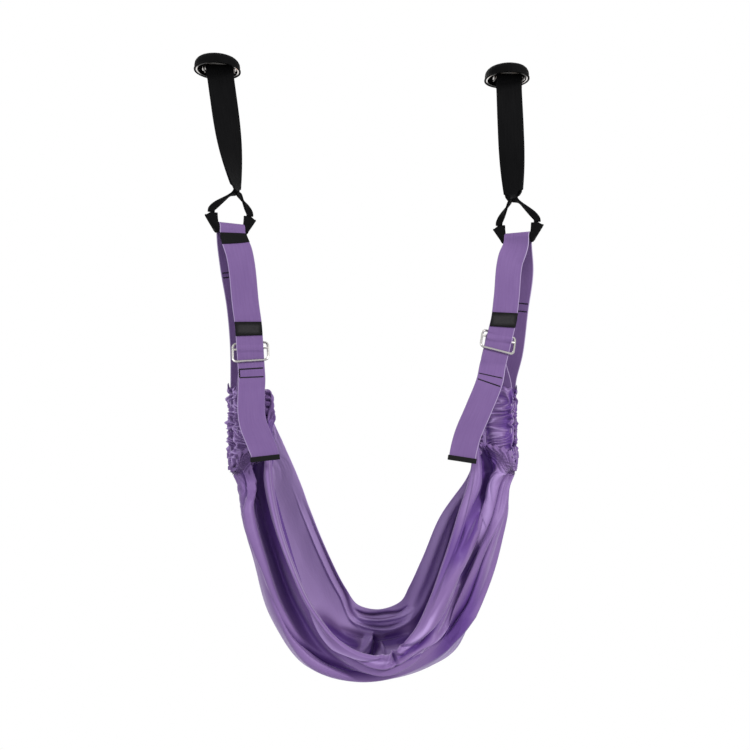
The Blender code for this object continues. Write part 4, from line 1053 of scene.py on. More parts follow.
@dataclass
class Suspension:
    """One side's black sling: two plies that twist from the pin down to the bar, and its sleeves."""

    side: Side
    finishes: Finishes
    ply_steps: int = 60
    leg_steps: int = 24
    arc_steps: int = 12
    sling_pitch: float = 0.0028
    narrowing_drop: float = 0.028
    leg_stub: float = 0.0045
    leg_handle: float = 0.18
    leg_thickness: float = 0.0048
    leg_turn_rate: float = 2.5
    leg_untwist_start: float = 0.2
    leg_narrow_rate: float = 2.0
    leg_thicken_rate: float = 1.6
    sleeve_rows: int = 32
    sleeve_columns: int = 22
    sleeve_shoulder: float = math.radians(36)
    climb_steps: int = 8
    lip_offset: float = 0.0018
    tip_slope: float = 0.7
    end_slimness: float = 0.25
    crumple: float = 0.0005
    sleeve_weave_step: float = 0.0022

    def __post_init__(self) -> None:
        """Work out the shared distances of one side."""
        side = self.side
        self.bar = Vector(side.bar)
        self.along = yaw_vector(side.bar_yaw)
        self.pin = Vector((side.anchor_x + SIZES.sling_offset, 0.0, -SIZES.pin_drop))
        self.loop_radius = SIZES.pin_radius + 2 * SIZES.seat_gap + SIZES.sling_thickness / 2
        self.ply_offset = SIZES.sling_thickness / 2 + SIZES.flat_gap
        self.reach = SIZES.strap_width / 2 + SIZES.sleeve_space + SIZES.sleeve_width / 2
        self.sleeve_radius = SIZES.bar_radius + SIZES.seat_gap + SIZES.sleeve_wall
        self.top = self.sleeve_radius + SIZES.sleeve_apex

    def hand(self, face: int) -> int:
        """Return which end of the bar a ply goes to: 1 towards +X."""
        normal = -front_vector(self.side.neck_twist) * face
        return 1 if normal.dot(self.along) > 0 else -1

    def upper_ply(self, face: int) -> list[Frame]:
        """Return the frames of one ply from the pin down to the neck.

        Args:
            face: 1 for the rear ply, -1 for the front one.

        Returns:
            The frames, from the pin down.
        """
        neck_twist = self.side.neck_twist
        neck = Vector((self.side.neck_x, 0.0, -SIZES.neck_drop))
        frames = []
        for step in range(self.ply_steps + 1):
            centre = self.pin.lerp(neck, step / self.ply_steps)
            fall = (-centre.z - SIZES.twist_start) / (SIZES.neck_drop - SIZES.twist_start)
            twist = neck_twist * min(ease(fall * 0.5) * 2, 1.0)
            narrowing = ease((SIZES.pin_drop + centre.z) / -self.narrowing_drop)
            offset = self.loop_radius + (self.ply_offset - self.loop_radius) * narrowing
            frames.append(Frame(centre - front_vector(twist) * offset * face, yaw_vector(twist),
                                SIZES.sling_width, SIZES.sling_thickness))
        return frames

    def ply(self, face: int) -> list[Frame]:
        """Return the frames of a whole ply, which narrows to a leg from the neck down to its sleeve.

        Args:
            face: 1 for the rear ply, -1 for the front one.

        Returns:
            The frames, from the pin down.
        """
        side = self.side
        frames = self.upper_ply(face)
        leg_start = frames[-1].point
        leg_end = self.bar + self.along * self.hand(face) * self.reach + UP * (self.top + SIZES.seat_gap)
        leg_foot = leg_end + UP * self.leg_stub
        handle = (leg_start - leg_foot).length * self.leg_handle
        rising = ((leg_start - leg_foot).normalized() + UP).normalized()
        curve = bezier_path(leg_start, leg_start - UP * handle, leg_foot + rising * handle, leg_foot,
                            self.leg_steps)
        quarter = math.copysign(math.pi / 2, side.neck_twist)
        square = side.bar_yaw + quarter
        for step, point in enumerate(curve[1:] + [leg_end], start=1):
            part = min(step / self.leg_steps, 1.0)
            settled = side.neck_twist + (square - side.neck_twist) * ease(part * self.leg_turn_rate)
            twist = settled - quarter * ease((part - self.leg_untwist_start) / (1 - self.leg_untwist_start))
            narrowed = ease(part * self.leg_narrow_rate)
            thickened = ease(part * self.leg_thicken_rate)
            frames.append(Frame(point, yaw_vector(twist),
                                SIZES.sling_width + (SIZES.leg_width - SIZES.sling_width) * narrowed,
                                SIZES.sling_thickness
                                + (self.leg_thickness - SIZES.sling_thickness) * thickened))
        return frames

    def build_sling(self) -> Object:
        """Make the sling over the pin, from one sleeve to the other.

        Returns:
            The sling.
        """
        front, rear = self.ply(-1), self.ply(1)
        arc = []
        for step in range(1, self.arc_steps):
            angle = math.pi * step / self.arc_steps
            place = self.pin + Vector((0.0, -math.cos(angle), math.sin(angle))) * self.loop_radius
            arc.append(Frame(place, RIGHTWARDS, SIZES.sling_width, SIZES.sling_thickness))
        frames = resample(front[::-1] + arc + rear, self.sling_pitch)
        sling = strip_object(self.side.named("sling_webbing"), frames,
                             self.finishes.get(Finish.BLACK_WEBBING))
        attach(sling, "hanging_sling")
        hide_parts(self.side.named("sling_strap"))
        return sling

    def sleeve_outline(self) -> list[tuple[float, float]]:
        """Return the sleeve's section: round below the bar and drawn together above it.

        Returns:
            Pairs of a place across the bar and a height over its axis, round the section.
        """
        turn = 2 * math.pi - 2 * self.sleeve_shoulder
        ring = []
        for step in range(self.sleeve_rows + 1):
            angle = self.sleeve_shoulder + turn * step / self.sleeve_rows
            ring.append((self.sleeve_radius * math.sin(angle), self.sleeve_radius * math.cos(angle)))
        side_u, side_v = ring[-1]
        climb = []
        for step in range(1, self.climb_steps + 1):
            rise = step / self.climb_steps
            climb.append((side_u * (1 - rise) ** 1.5 - self.lip_offset * rise,
                          side_v + (self.top - side_v) * rise))
        return ring + climb + [(-u, v) for u, v in climb[::-1]]

    def build_sleeve(self, label: str, hand: float) -> Object:
        """Make one sleeve: webbing folded round the bar's end, with a pointed outer corner.

        Args:
            label: outer or inner.
            hand: Which end of the bar it is on.

        Returns:
            The sleeve.
        """
        inner_edge = self.bar + self.along * hand * (SIZES.strap_width / 2 + SIZES.sleeve_space)
        sideways = UP.cross(self.along).normalized()
        radius = self.sleeve_radius
        outline = self.sleeve_outline()
        columns = self.sleeve_columns
        points = np.zeros((len(outline) + 1, columns + 1, 3))
        uv = np.zeros((len(outline) + 1, columns + 1, 2))
        tip_low = self.top - SIZES.sleeve_corner
        tip_high = self.top - SIZES.sleeve_corner * self.tip_slope
        for column in range(columns + 1):
            out = SIZES.sleeve_width * column / columns
            beyond = max(0.0, out - SIZES.sleeve_foot) / (SIZES.sleeve_width - SIZES.sleeve_foot)
            low = -radius + (tip_low + radius) * beyond
            high = self.top + (tip_high - self.top) * ease(out / SIZES.sleeve_width * 2 - 1)
            squash = (high - low) / (self.top + radius)
            closing = ease((1.04 - out / SIZES.sleeve_width) / 0.12)
            slim = squash ** 0.75 * (self.end_slimness + (1 - self.end_slimness) * closing)
            for row, (u, v) in enumerate(outline + outline[:1]):
                fold = self.crumple * math.sin(out * 900 + 2.0 * v / radius) * beyond
                place = sideways * (u * slim + math.copysign(fold, u)) + UP * (high - (self.top - v) * squash)
                points[row, column] = inner_edge + self.along * hand * out + place
                uv[row, column] = (out - SIZES.sleeve_width / 2, row * self.sleeve_weave_step)
        mesh = grid_mesh(self.side.named(f"sleeve_{label}_webbing"), points, uv, flip=hand < 0)
        sleeve = new_object(mesh.name, mesh, self.finishes.get(Finish.BLACK_WEBBING))
        thicken(sleeve, SIZES.sleeve_wall, -1.0)
        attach(sleeve, "hanging_sling")
        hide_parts(self.side.named(f"sleeve_{label}"))
        return sleeve

    def build(self) -> list[str]:
        """Build the sling and its two sleeves.

        Returns:
            Their names.
        """
        outer = math.copysign(1.0, self.side.anchor_x)
        pieces = [self.build_sling(), self.build_sleeve("outer", outer), self.build_sleeve("inner", -outer)]
        return [piece.name for piece in pieces]


@dataclass
class StrapLoop:
    """One side's purple webbing and what is sewn on it."""

    side: Side
    finishes: Finishes
    run_steps: int = 8
    bar_steps: int = 16
    rear_steps: int = 10
    loop_steps: int = 120
    fold_start_steps: int = 8
    fold_steps: int = 12
    front_pitch: float = 0.002
    strap_pitch: float = 0.0022
    bulge_height: float = 0.0016
    bulge_half: float = 0.0055
    bulge_slope: float = 0.0022
    fold_close_rate: float = 2.2
    lower_stub: float = 0.002
    lower_steps: int = 20
    patch_height: float = 0.0285
    patch_thickness: float = 0.0016
    label_middle: float = -0.3398
    label_height: float = 0.0225
    label_thickness: float = 0.0008
    label_stand: float = 0.0009
    label_overhang: float = 0.0016
    label_skew: tuple[float, float] = (0.0, -0.0046)
    stitch_pitch: float = 0.0019
    stitch_radius: float = 0.0009
    flush_radius: float = 0.00135
    flush_share: float = 0.16
    stitch_sway: float = 0.0009
    stitch_crown: float = 0.00005
    stitch_reach: float = 0.9
    front_stitch_end: float = 0.86

    def __post_init__(self) -> None:
        """Work out the shared distances of one side."""
        side = self.side
        self.webbing = self.finishes.get(Finish.LEFT_WEBBING if side is LEFT else Finish.RIGHT_WEBBING)
        self.rear_frames: list[Frame] = []
        self.bar = Vector(side.bar)
        self.front = front_vector(side.bar_yaw)
        self.wrap_radius = SIZES.bar_radius + SIZES.seat_gap + SIZES.strap_thickness / 2
        top, low = Vector(side.front_run[-1]), Vector(side.tail[0])
        self.straight = (low - top).normalized()
        self.adjuster = top.lerp(low, (side.adjuster_z - top.z) / (low.z - top.z))
        self.centre_bar_rise = SIZES.frame_height * (SIZES.centre_bar_share - 0.5)
        self.across = (RIGHTWARDS - self.straight * RIGHTWARDS.dot(self.straight)).normalized()
        self.behind = self.straight.cross(self.across).normalized()
        if self.behind.y < 0:
            self.behind = -self.behind
        self.setback = SIZES.strap_thickness * 1.5 + SIZES.flat_gap + SIZES.seat_gap + SIZES.wire_radius
        self.loop_front = front_vector(side.casing_yaw)
        self.loop_across = yaw_vector(side.casing_yaw)
        self.loop_centre = Vector(side.casing)
        self.loop_low = self.loop_centre.z - SIZES.loop_drop

    def loop_point(self, share: float) -> Vector:
        """Return a point of the lower loop.

        Args:
            share: 0 at the loop's rear top, 1 at its front top.

        Returns:
            The point on the webbing's centreline.
        """
        limb, half = SIZES.loop_drop, SIZES.loop_half_space
        arc = math.pi * half
        total = 2 * limb + arc
        reach = share * total
        if reach < limb:
            return self.loop_centre - self.loop_front * half - UP * reach
        if reach > limb + arc:
            return self.loop_centre + self.loop_front * half - UP * (total - reach)
        angle = (reach - limb) / half
        return (self.loop_centre - UP * (limb + half * math.sin(angle))
                - self.loop_front * half * math.cos(angle))

    def loop_points(self, start: float, end: float, steps: int) -> list[Vector]:
        """Return points of the lower loop between two shares."""
        return [self.loop_point(start + (end - start) * index / steps) for index in range(steps + 1)]

    def front_frames(self) -> list[Frame]:
        """Return the settled frames of the front run and the tail.

        Returns:
            The frames, from the bar down.
        """
        side = self.side
        start = self.bar + self.front * self.wrap_radius
        run = [Vector(point) for point in side.front_run]
        tail = [Vector(point) for point in side.tail]
        stub = self.straight * SIZES.straight_stub
        knots = [start, start - UP * SIZES.bar_stub, *run, run[-1] + stub, tail[0] - stub, tail[0],
                 tail[0] + stub, *tail[1:], Vector(side.tail_end)]
        bar_z, run_z = side.bar[2], side.front_run[0][2]
        tail_z, end_z = side.adjuster_z, side.tail_end[2]
        frames = []
        for point in smooth_path(knots, self.run_steps):
            settle = ease((bar_z - point.z) / (bar_z - run_z))
            tail = ease((tail_z - point.z) / (tail_z - end_z))
            frames.append(Frame(point, yaw_vector(side.bar_yaw * (1 - settle) + side.tail_twist * tail)))
        return resample(frames, self.front_pitch)

    def build_strap(self) -> Object:
        """Make the long strap: tail, front run, over the bar, rear run and lower loop.

        Returns:
            The strap.
        """
        side = self.side
        frames = []
        for frame in self.front_frames()[::-1]:
            reach = abs(frame.point.z - (self.adjuster.z + self.centre_bar_rise))
            bulge = self.bulge_height * ease((self.bulge_half - reach) / self.bulge_slope)
            frames.append(Frame(frame.point - self.behind * bulge, frame.guide))
        for step in range(1, self.bar_steps):
            angle = math.pi * step / self.bar_steps
            place = self.bar + (self.front * math.cos(angle) + UP * math.sin(angle)) * self.wrap_radius
            frames.append(Frame(place, yaw_vector(side.bar_yaw)))
        rear_top = self.bar - self.front * self.wrap_radius
        loop = self.loop_points(0.0, SIZES.loop_share, self.loop_steps)
        stub = UP * SIZES.bar_stub
        run = (Vector(point) for point in side.rear_run)
        knots = [rear_top, rear_top - stub, *run, loop[0] + stub, loop[0]]
        for point in smooth_path(knots, self.rear_steps)[:-1]:
            share = ease((side.bar[2] - point.z) / (side.bar[2] - self.loop_centre.z))
            angle = side.bar_yaw + (side.casing_yaw - side.bar_yaw) * share
            self.rear_frames.append(Frame(point, yaw_vector(angle)))
        frames += self.rear_frames
        settle_frames(self.rear_frames)
        frames += [Frame(point, self.loop_across) for point in loop]
        strap = strip_object(side.named("webbing"), resample(frames, self.strap_pitch), self.webbing)
        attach(strap, "hanging_sling")
        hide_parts(side.named("strap"))
        return strap

    def build_fixed_end(self) -> tuple[Object, Vector]:
        """Fold the sewn end over the adjuster's centre bar.

        Returns:
            The folded webbing, and where it ends and the lower strap begins.
        """
        centre = self.adjuster - self.straight * self.centre_bar_rise + self.behind * self.setback
        radius = SIZES.wire_radius + SIZES.seat_gap + SIZES.strap_thickness / 2
        steps, start_steps = self.fold_steps, self.fold_start_steps
        points = [centre - self.behind * radius + self.straight * SIZES.fold_front * (1 - step / start_steps)
                  for step in range(start_steps)]
        for step in range(steps + 1):
            angle = math.pi * step / steps
            points.append(centre - self.behind * radius * math.cos(angle)
                          - self.straight * radius * math.sin(angle))
        drawn = 2 * radius - SIZES.strap_thickness - SIZES.flat_gap
        for step in range(1, steps + 1):
            part = step / steps
            points.append(centre + self.behind * (radius - drawn * ease(part * self.fold_close_rate))
                          + self.straight * SIZES.fold_rear * part)
        frames = [Frame(point, self.across, SIZES.lower_width) for point in points]
        fold = strip_object(self.side.named("fold_webbing"), settle_frames(frames), self.webbing)
        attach(fold, self.side.named("adjuster"))
        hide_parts(self.side.named("fixed_end"))
        return fold, points[-1]

    def build_lower_strap(self, fold_end: Vector) -> Object:
        """Make the run between the adjuster's fold and the lower loop.

        Args:
            fold_end: Where the fold ends.

        Returns:
            The lower strap.
        """
        top = fold_end + self.straight * SIZES.seat_gap
        low = self.loop_point(SIZES.loop_share) + UP * SIZES.seat_gap
        third = (top - low).length / 3
        curve = bezier_path(top + self.straight * self.lower_stub, top + self.straight * third,
                            low + UP * third, low + UP * self.lower_stub, self.lower_steps)
        frames = []
        for point in [top] + curve + [low]:
            share = ease((top.z - point.z) / (top.z - low.z))
            frames.append(Frame(point, self.across.lerp(self.loop_across, share), SIZES.lower_width))
        name = self.side.named("lower_webbing")
        lower = strip_object(name, settle_frames(frames), self.webbing)
        self.side.named("adjuster")
        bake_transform(lower)
        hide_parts(self.side.named("lower_strap"))
        return lower

    @staticmethod
    def skew(piece: Object, frames: list[Frame], skews: tuple[float, float]) -> None:
        """Turn a flat piece's ends level by sliding its points along the strap, more towards its edges.

        Args:
            piece: The flat piece.
            frames: The frames it was made from.
            skews: How far the edge at the first frame slides, and the one at the last.
        """
        middle = frames[len(frames) // 2]
        length = (frames[0].point - frames[-1].point).length
        along = (frames[0].point - frames[-1].point) / length
        half_width = SIZES.strap_width / 2
        for vertex in piece.data.vertices:
            share = min(max((vertex.co - frames[-1].point).dot(along) / length, 0.0), 1.0)
            slide = skews[1] + (skews[0] - skews[1]) * share
            vertex.co += along * slide * (vertex.co - middle.point).dot(middle.across) / half_width

    def band_frames(self, middle: float, height: float, lift: float, width: float,
                    thickness: float) -> list[Frame]:
        """Return frames of a flat piece on the front run's face.

        Args:
            middle: The height of the piece's middle in the frame.
            height: How much of the strap it covers.
            lift: How far its own middle stands off the strap's.
            width: Its width.
            thickness: Its thickness.

        Returns:
            The settled frames.
        """
        picked = []
        for frame in self.front_frames():
            if abs(frame.point.z - middle) <= height / 2:
                picked.append(Frame(frame.point + frame.outward() * lift, frame.guide, width, thickness))
        return settle_frames(picked)

    def build_patch(self) -> Object:
        """Make the leather patch.

        Returns:
            The patch.
        """
        lift = SIZES.strap_thickness / 2 + SIZES.flat_gap + self.patch_thickness / 2
        frames = self.band_frames(self.side.patch_z, self.patch_height, lift, SIZES.strap_width,
                                  self.patch_thickness)
        patch = strip_object(self.side.named("leather_patch"), frames, self.finishes.get(Finish.LEATHER))
        self.skew(patch, frames, self.side.patch_skew)
        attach(patch, "hanging_sling")
        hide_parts(self.side.named("patch"))
        return patch

    def build_label(self) -> Object:
        """Make the bare woven label.

        Returns:
            The label.
        """
        lift = SIZES.strap_thickness / 2 + SIZES.flat_gap + self.label_thickness / 2 + self.label_stand
        frames = self.band_frames(self.label_middle, self.label_height, lift,
                                  SIZES.strap_width + self.label_overhang, self.label_thickness)
        label = strip_object(self.side.named("woven_label"), frames, self.finishes.get(Finish.LABEL))
        self.skew(label, frames, self.label_skew)
        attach(label, "hanging_sling")
        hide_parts(self.side.named("label"))
        return label

    def stitched(self, first: tuple[Frame, float], last: tuple[Frame, float], flush: bool) -> list[Mesh]:
        """Return the zigzag stitches between two places on the strap's face.

        Args:
            first: The frame where the row starts, and its share of the half width.
            last: The frame where the row ends, and its share of the half width.
            flush: Whether the thread lies sunk in the webbing, where the adjuster passes over it.

        Returns:
            One small mesh for each stitch.
        """
        lift = SIZES.strap_thickness / 2
        start, end = (frame.point + frame.across * share * SIZES.strap_width / 2 + frame.outward() * lift
                      for frame, share in (first, last))
        outward = first[0].outward()
        radius = self.flush_radius if flush else self.stitch_radius
        sway = (end - start).cross(outward).normalized() * self.stitch_sway
        count = max(int((end - start).length / self.stitch_pitch), 2)
        meshes = []
        for index in range(count):
            hand = 1 if index % 2 else -1
            near = start.lerp(end, index / count) + sway * hand
            far = start.lerp(end, (index + 1) / count) - sway * hand
            crown = (near + far) / 2 + outward * self.stitch_crown
            path = [near, near.lerp(crown, 0.6), crown, far.lerp(crown, 0.6), far]
            stitch = tube_mesh(path, radius)
            if flush:
                for vertex in stitch.vertices:
                    vertex.co -= outward * (vertex.co - start).dot(outward) * (1 - self.flush_share)
            meshes.append(stitch)
        return meshes

    def build_stitches(self) -> Object:
        """Sew the rows of black thread on the front run and on the rear run.

        Returns:
            The stitches as one piece.
        """
        left_end = -self.stitch_reach
        run = self.front_frames()
        front = [nearest_frame(run, z) for z in self.side.front_stitches]
        meshes = []
        for frame in front:
            meshes += self.stitched((frame, left_end), (frame, self.front_stitch_end), True)
        for z in self.side.rear_stitches:
            frame = nearest_frame(self.rear_frames, z)
            meshes += self.stitched((frame, left_end), (frame, self.stitch_reach), False)
        if self.side is LEFT:
            meshes += self.stitched((front[0], left_end), (front[1], left_end), True)
        stitches = join_meshes(self.side.named("strap_stitching"), meshes, self.finishes.get(Finish.THREAD))
        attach(stitches, "hanging_sling")
        return stitches

    def cloth_edge(self, share: float) -> tuple[Vector, Vector]:
        """Return where the cloth leaves the casing.

        Args:
            share: The share across the cloth, from its front edge.

        Returns:
            The point on the casing, and a point that leads the cloth clear of it.
        """
        before, point, after = self.loop_points(0.99 - share * 0.98, 1.01 - share * 0.98, 2)
        inwards = self.loop_across * self.side.inner_hand
        outwards = (after - before).cross(self.loop_across).normalized()
        middle = self.loop_centre - UP * (SIZES.loop_drop if point.z < self.loop_low else 0.0)
        if outwards.dot(point - middle) < 0:
            outwards = -outwards
        under = min(ease((share - SIZES.under_start) / SIZES.under_turn),
                    ease((SIZES.under_end - share) / SIZES.under_turn))
        drawn_in = 1 - SIZES.under_reach * ease((under - 0.3) / 0.7)
        reach = (SIZES.casing_width / 2 + SIZES.cloth_edge_gap) * drawn_in
        dropped = min(ease((share - SIZES.drop_start) / SIZES.under_turn),
                      ease((SIZES.drop_end - share) / SIZES.under_turn))
        edge = point + inwards * reach + outwards * SIZES.under_drop * dropped
        lead = inwards * SIZES.cloth_lead_in * (1 - under) + outwards * SIZES.cloth_lead_out
        return edge, edge + lead

    def build(self) -> list[str]:
        """Build the strap's pieces in order.

        Returns:
            Their names.
        """
        pieces = [self.build_strap()]
        fold, fold_end = self.build_fixed_end()
        pieces += [fold, self.build_lower_strap(fold_end), self.build_patch()]
        if self.side is LEFT:
            pieces.append(self.build_label())
        pieces.append(self.build_stitches())
        return [piece.name for piece in pieces]


@dataclass
class Casing:
    """The cloth scrunched round one side's lower loop, with a frilled free edge."""

    strap: StrapLoop
    finishes: Finishes
    rows: int = 340
    columns: int = 84
    half_deep: float = 0.0036
    side_inset: float = 0.0026
    thickness: float = 0.0006
    end_taper: float = 0.006
    ragged_height: float = 0.0045
    ragged_reach: float = 0.022
    pleat_share: float = 0.8
    fine_pitch: float = 0.0047
    ruffle_height: float = 0.006
    limb_height: float = 0.0036
    limb_calm: float = 0.15
    frill_height: float = 0.0062
    frill_ruffle: float = 0.0038
    edge_sway: float = 0.0056
    under_share: float = 0.17
    under_calm: float = 0.55
    weave_stretch: float = 1.8
    weave_radius: float = 0.0095
    crease_shade: float = 1.5
    crease_level: float = 0.42
    frill_light: float = 0.5
    limb_shade: float = 0.9

    def __post_init__(self) -> None:
        """Take the side's own gathers, and work out the length of the loop."""
        self.side = self.strap.side
        self.gathers = self.side.gathers
        self.total = 2 * SIZES.loop_drop + math.pi * SIZES.loop_half_space

    def build(self) -> list[str]:
        """Make the casing.

        Returns:
            Its name, in a list.
        """
        side, gathers, last = self.side, self.gathers, self.rows - 1
        level = self.strap.loop_across
        half_wide = SIZES.casing_width / 2 - self.side_inset
        points = np.zeros((self.rows, self.columns, 3))
        uv = np.zeros((self.rows, self.columns, 2))
        shade = np.zeros((self.rows, self.columns))
        rim = self.strap.loop_points(0.0, 1.0, last)
        for row, point in enumerate(rim):
            length = self.total * row / last
            along = (rim[min(row + 1, last)] - rim[max(row - 1, 0)]).normalized()
            normal = along.cross(level).normalized()
            from_end = min(length, self.total - length)
            taper = ease(from_end / self.end_taper)
            ragged = self.ragged_height * (1 - ease(from_end / self.ragged_reach))
            under = max(0.0, 1 - abs(length / self.total - 0.5) / self.under_share)
            flare = (0.5 + 0.3 * math.sin(2 * math.pi * length / 0.0293 + 2.6 * math.sin(length * 53))
                     + 0.2 * math.sin(2 * math.pi * length / 0.0113 + 2.3 * math.sin(length * 97)))
            sway = self.edge_sway * math.sin(2 * math.pi * length / 0.0223 + 2.8 * math.sin(length * 71))
            for column in range(self.columns):
                angle = 2 * math.pi * column / self.columns
                wide = math.copysign(abs(math.cos(angle)) ** 0.55, math.cos(angle))
                deep = math.copysign(abs(math.sin(angle)) ** 0.7, math.sin(angle))
                free_edge = max(0.0, -wide) ** 4
                drift = (2.3 * math.sin(angle + length * 37) + 1.7 * math.sin(length * 131 + 2 * angle)
                         + 1.1 * math.sin(length * 227 + 1.3))
                pleat = 1 - abs(math.sin(math.pi * length / gathers.pleat_pitch + drift))
                bend = 1.7 * math.cos(angle * 3 + length * 61)
                fine = 1 - abs(math.sin(math.pi * length / self.fine_pitch + bend))
                ruffle = self.pleat_share * pleat ** 1.7 + (1 - self.pleat_share) * fine
                limb = 0.5 + 0.5 * math.cos(4 * angle + 26 * length + 1.5 * math.sin(length * 41))
                limb *= gathers.limbs
                swell = self.ruffle_height * ruffle * (0.75 + 0.25 * math.sin(length * 83 + angle))
                swell *= (1 - self.under_calm * under) * (1 - self.limb_calm * gathers.limbs)
                swell += self.limb_height * limb
                spread = gathers.frill * (self.frill_height * flare + self.frill_ruffle * ruffle)
                jag = ragged * (math.sin(3 * angle + 1.1) + 0.7 * math.sin(7 * angle + 0.4))
                points[row, column] = (
                    point + level * (wide * (half_wide + free_edge * spread) * side.inner_hand)
                    + normal * (deep * (self.half_deep * 0.55 + swell * taper) + free_edge * sway)
                    + along * jag)
                uv[row, column] = (length * self.weave_stretch, angle * self.weave_radius)
                # Painted shade in the creases and between the limbs, painted light on the frilled edge,
                # and a painted shade for the whole side, below 0 for light, darker towards its outer side
                crease = self.crease_shade * (self.crease_level - ruffle) * (1 - 0.5 * under)
                crease -= gathers.frill * self.frill_light * free_edge * flare
                crease += self.limb_shade * (0.5 * gathers.limbs - limb) * (1 - under)
                shade[row, column] = gathers.shade * (1 - under) + crease - gathers.outer_shade * wide
        mesh = grid_mesh(side.named("gathered_casing"), points, uv, ring=True, flip=side.inner_hand > 0)
        set_shade(mesh, shade)
        casing = new_object(mesh.name, mesh, self.finishes.get(Finish.CLOTH))
        thicken(casing, self.thickness, -1.0)
        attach(casing, "hanging_sling")
        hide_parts(side.named("casing"))
        side.named("webbing")
        return [casing.name]


# The cloth's rows stand closer together about the middle of the seat, where the folds run across them
SEAT_SHARE = 0.52
ROW_CROWDING = 0.76


def row_shares(count: int) -> np.ndarray:
    """Return the share along the cloth of each row.

    Args:
        count: How many rows there are.

    Returns:
        The shares, from 0 to 1.
    """
    even = np.linspace(0.0, 1.0, count)
    bent = even - ROW_CROWDING / (2 * math.pi) * np.sin(2 * math.pi * (even - SEAT_SHARE))
    return (bent - bent[0]) / (bent[-1] - bent[0])


@dataclass(frozen=True)
class Crease:
    """One fold drawn on the cloth along a line.

    Each key is a share along and a share across, in thousandths, and a height in millimetres. The outer
    side of the cloth is down, so a ridge seen from below or in front has a height above 0. Where the
    keys run to the right, `width` is the fold's reach towards the front edge and `fall` its reach
    towards the back edge, both in millimetres.
    """

    keys: tuple[Point, ...]
    width: float
    fall: float
    crown: float = 2.0

    STEPS = 6
    ROW_MARGIN = 0.05
    COLUMN_MARGIN = 0.16

    @staticmethod
    def sampled(grid: np.ndarray, rows: np.ndarray, columns: np.ndarray) -> np.ndarray:
        """Return the grid's points between its rows and columns.

        Args:
            grid: The points.
            rows: Places counted in rows.
            columns: Places counted in columns.

        Returns:
            One point for each pair of places.
        """
        row = np.minimum(rows.astype(int), grid.shape[0] - 2)
        column = np.minimum(columns.astype(int), grid.shape[1] - 2)
        down, over = (rows - row)[:, None], (columns - column)[:, None]
        upper = grid[row, column] * (1 - over) + grid[row, column + 1] * over
        lower = grid[row + 1, column] * (1 - over) + grid[row + 1, column + 1] * over
        return upper * (1 - down) + lower * down

    def displace(self, grid: np.ndarray, normals: np.ndarray, lift: np.ndarray) -> None:
        """Add this fold's height to the lift of each point of the cloth.

        Args:
            grid: The cloth's points.
            normals: The cloth's unit normals.
            lift: The height of each point so far, changed in place.
        """
        shares = row_shares(grid.shape[0])
        columns = grid.shape[1] - 1
        keys = [(along / 1000, across / 1000, height * 0.001) for along, across, height in self.keys]
        path = np.array(smooth_path(keys, self.STEPS))
        path[:, :2] = np.clip(path[:, :2], 0.0, 1.0)
        rows = np.interp(path[:, 0], shares, np.arange(grid.shape[0]))
        line = self.sampled(grid, rows, path[:, 1] * columns)
        row_low = int(np.searchsorted(shares, path[:, 0].min() - self.ROW_MARGIN))
        row_high = int(np.searchsorted(shares, path[:, 0].max() + self.ROW_MARGIN)) + 1
        column_low = max(int((path[:, 1].min() - self.COLUMN_MARGIN) * columns), 0)
        column_high = int((path[:, 1].max() + self.COLUMN_MARGIN) * columns) + 1
        window = (slice(row_low, row_high), slice(column_low, column_high))
        points, normal = grid[window], normals[window]
        nearest = np.full(points.shape[:2], np.inf)
        height = np.zeros(points.shape[:2])
        side = np.ones(points.shape[:2])
        for start, end, low, high in zip(line, line[1:], path[:, 2], path[1:, 2]):
            step = end - start
            share = np.clip((points - start) @ step / max(step @ step, 1e-12), 0.0, 1.0)
            away = points - start - share[:, :, None] * step
            distance = np.linalg.norm(away, axis=2)
            closer = distance < nearest
            nearest = np.where(closer, distance, nearest)
            height = np.where(closer, low + (high - low) * share, height)
            side = np.where(closer, np.einsum("ijk,ijk->ij", np.cross(normal, step), away), side)
        reach = np.where(side < 0, self.width / 1000, self.fall / 1000)
        lift[window] += height * np.exp(-(nearest / reach) ** self.crown)


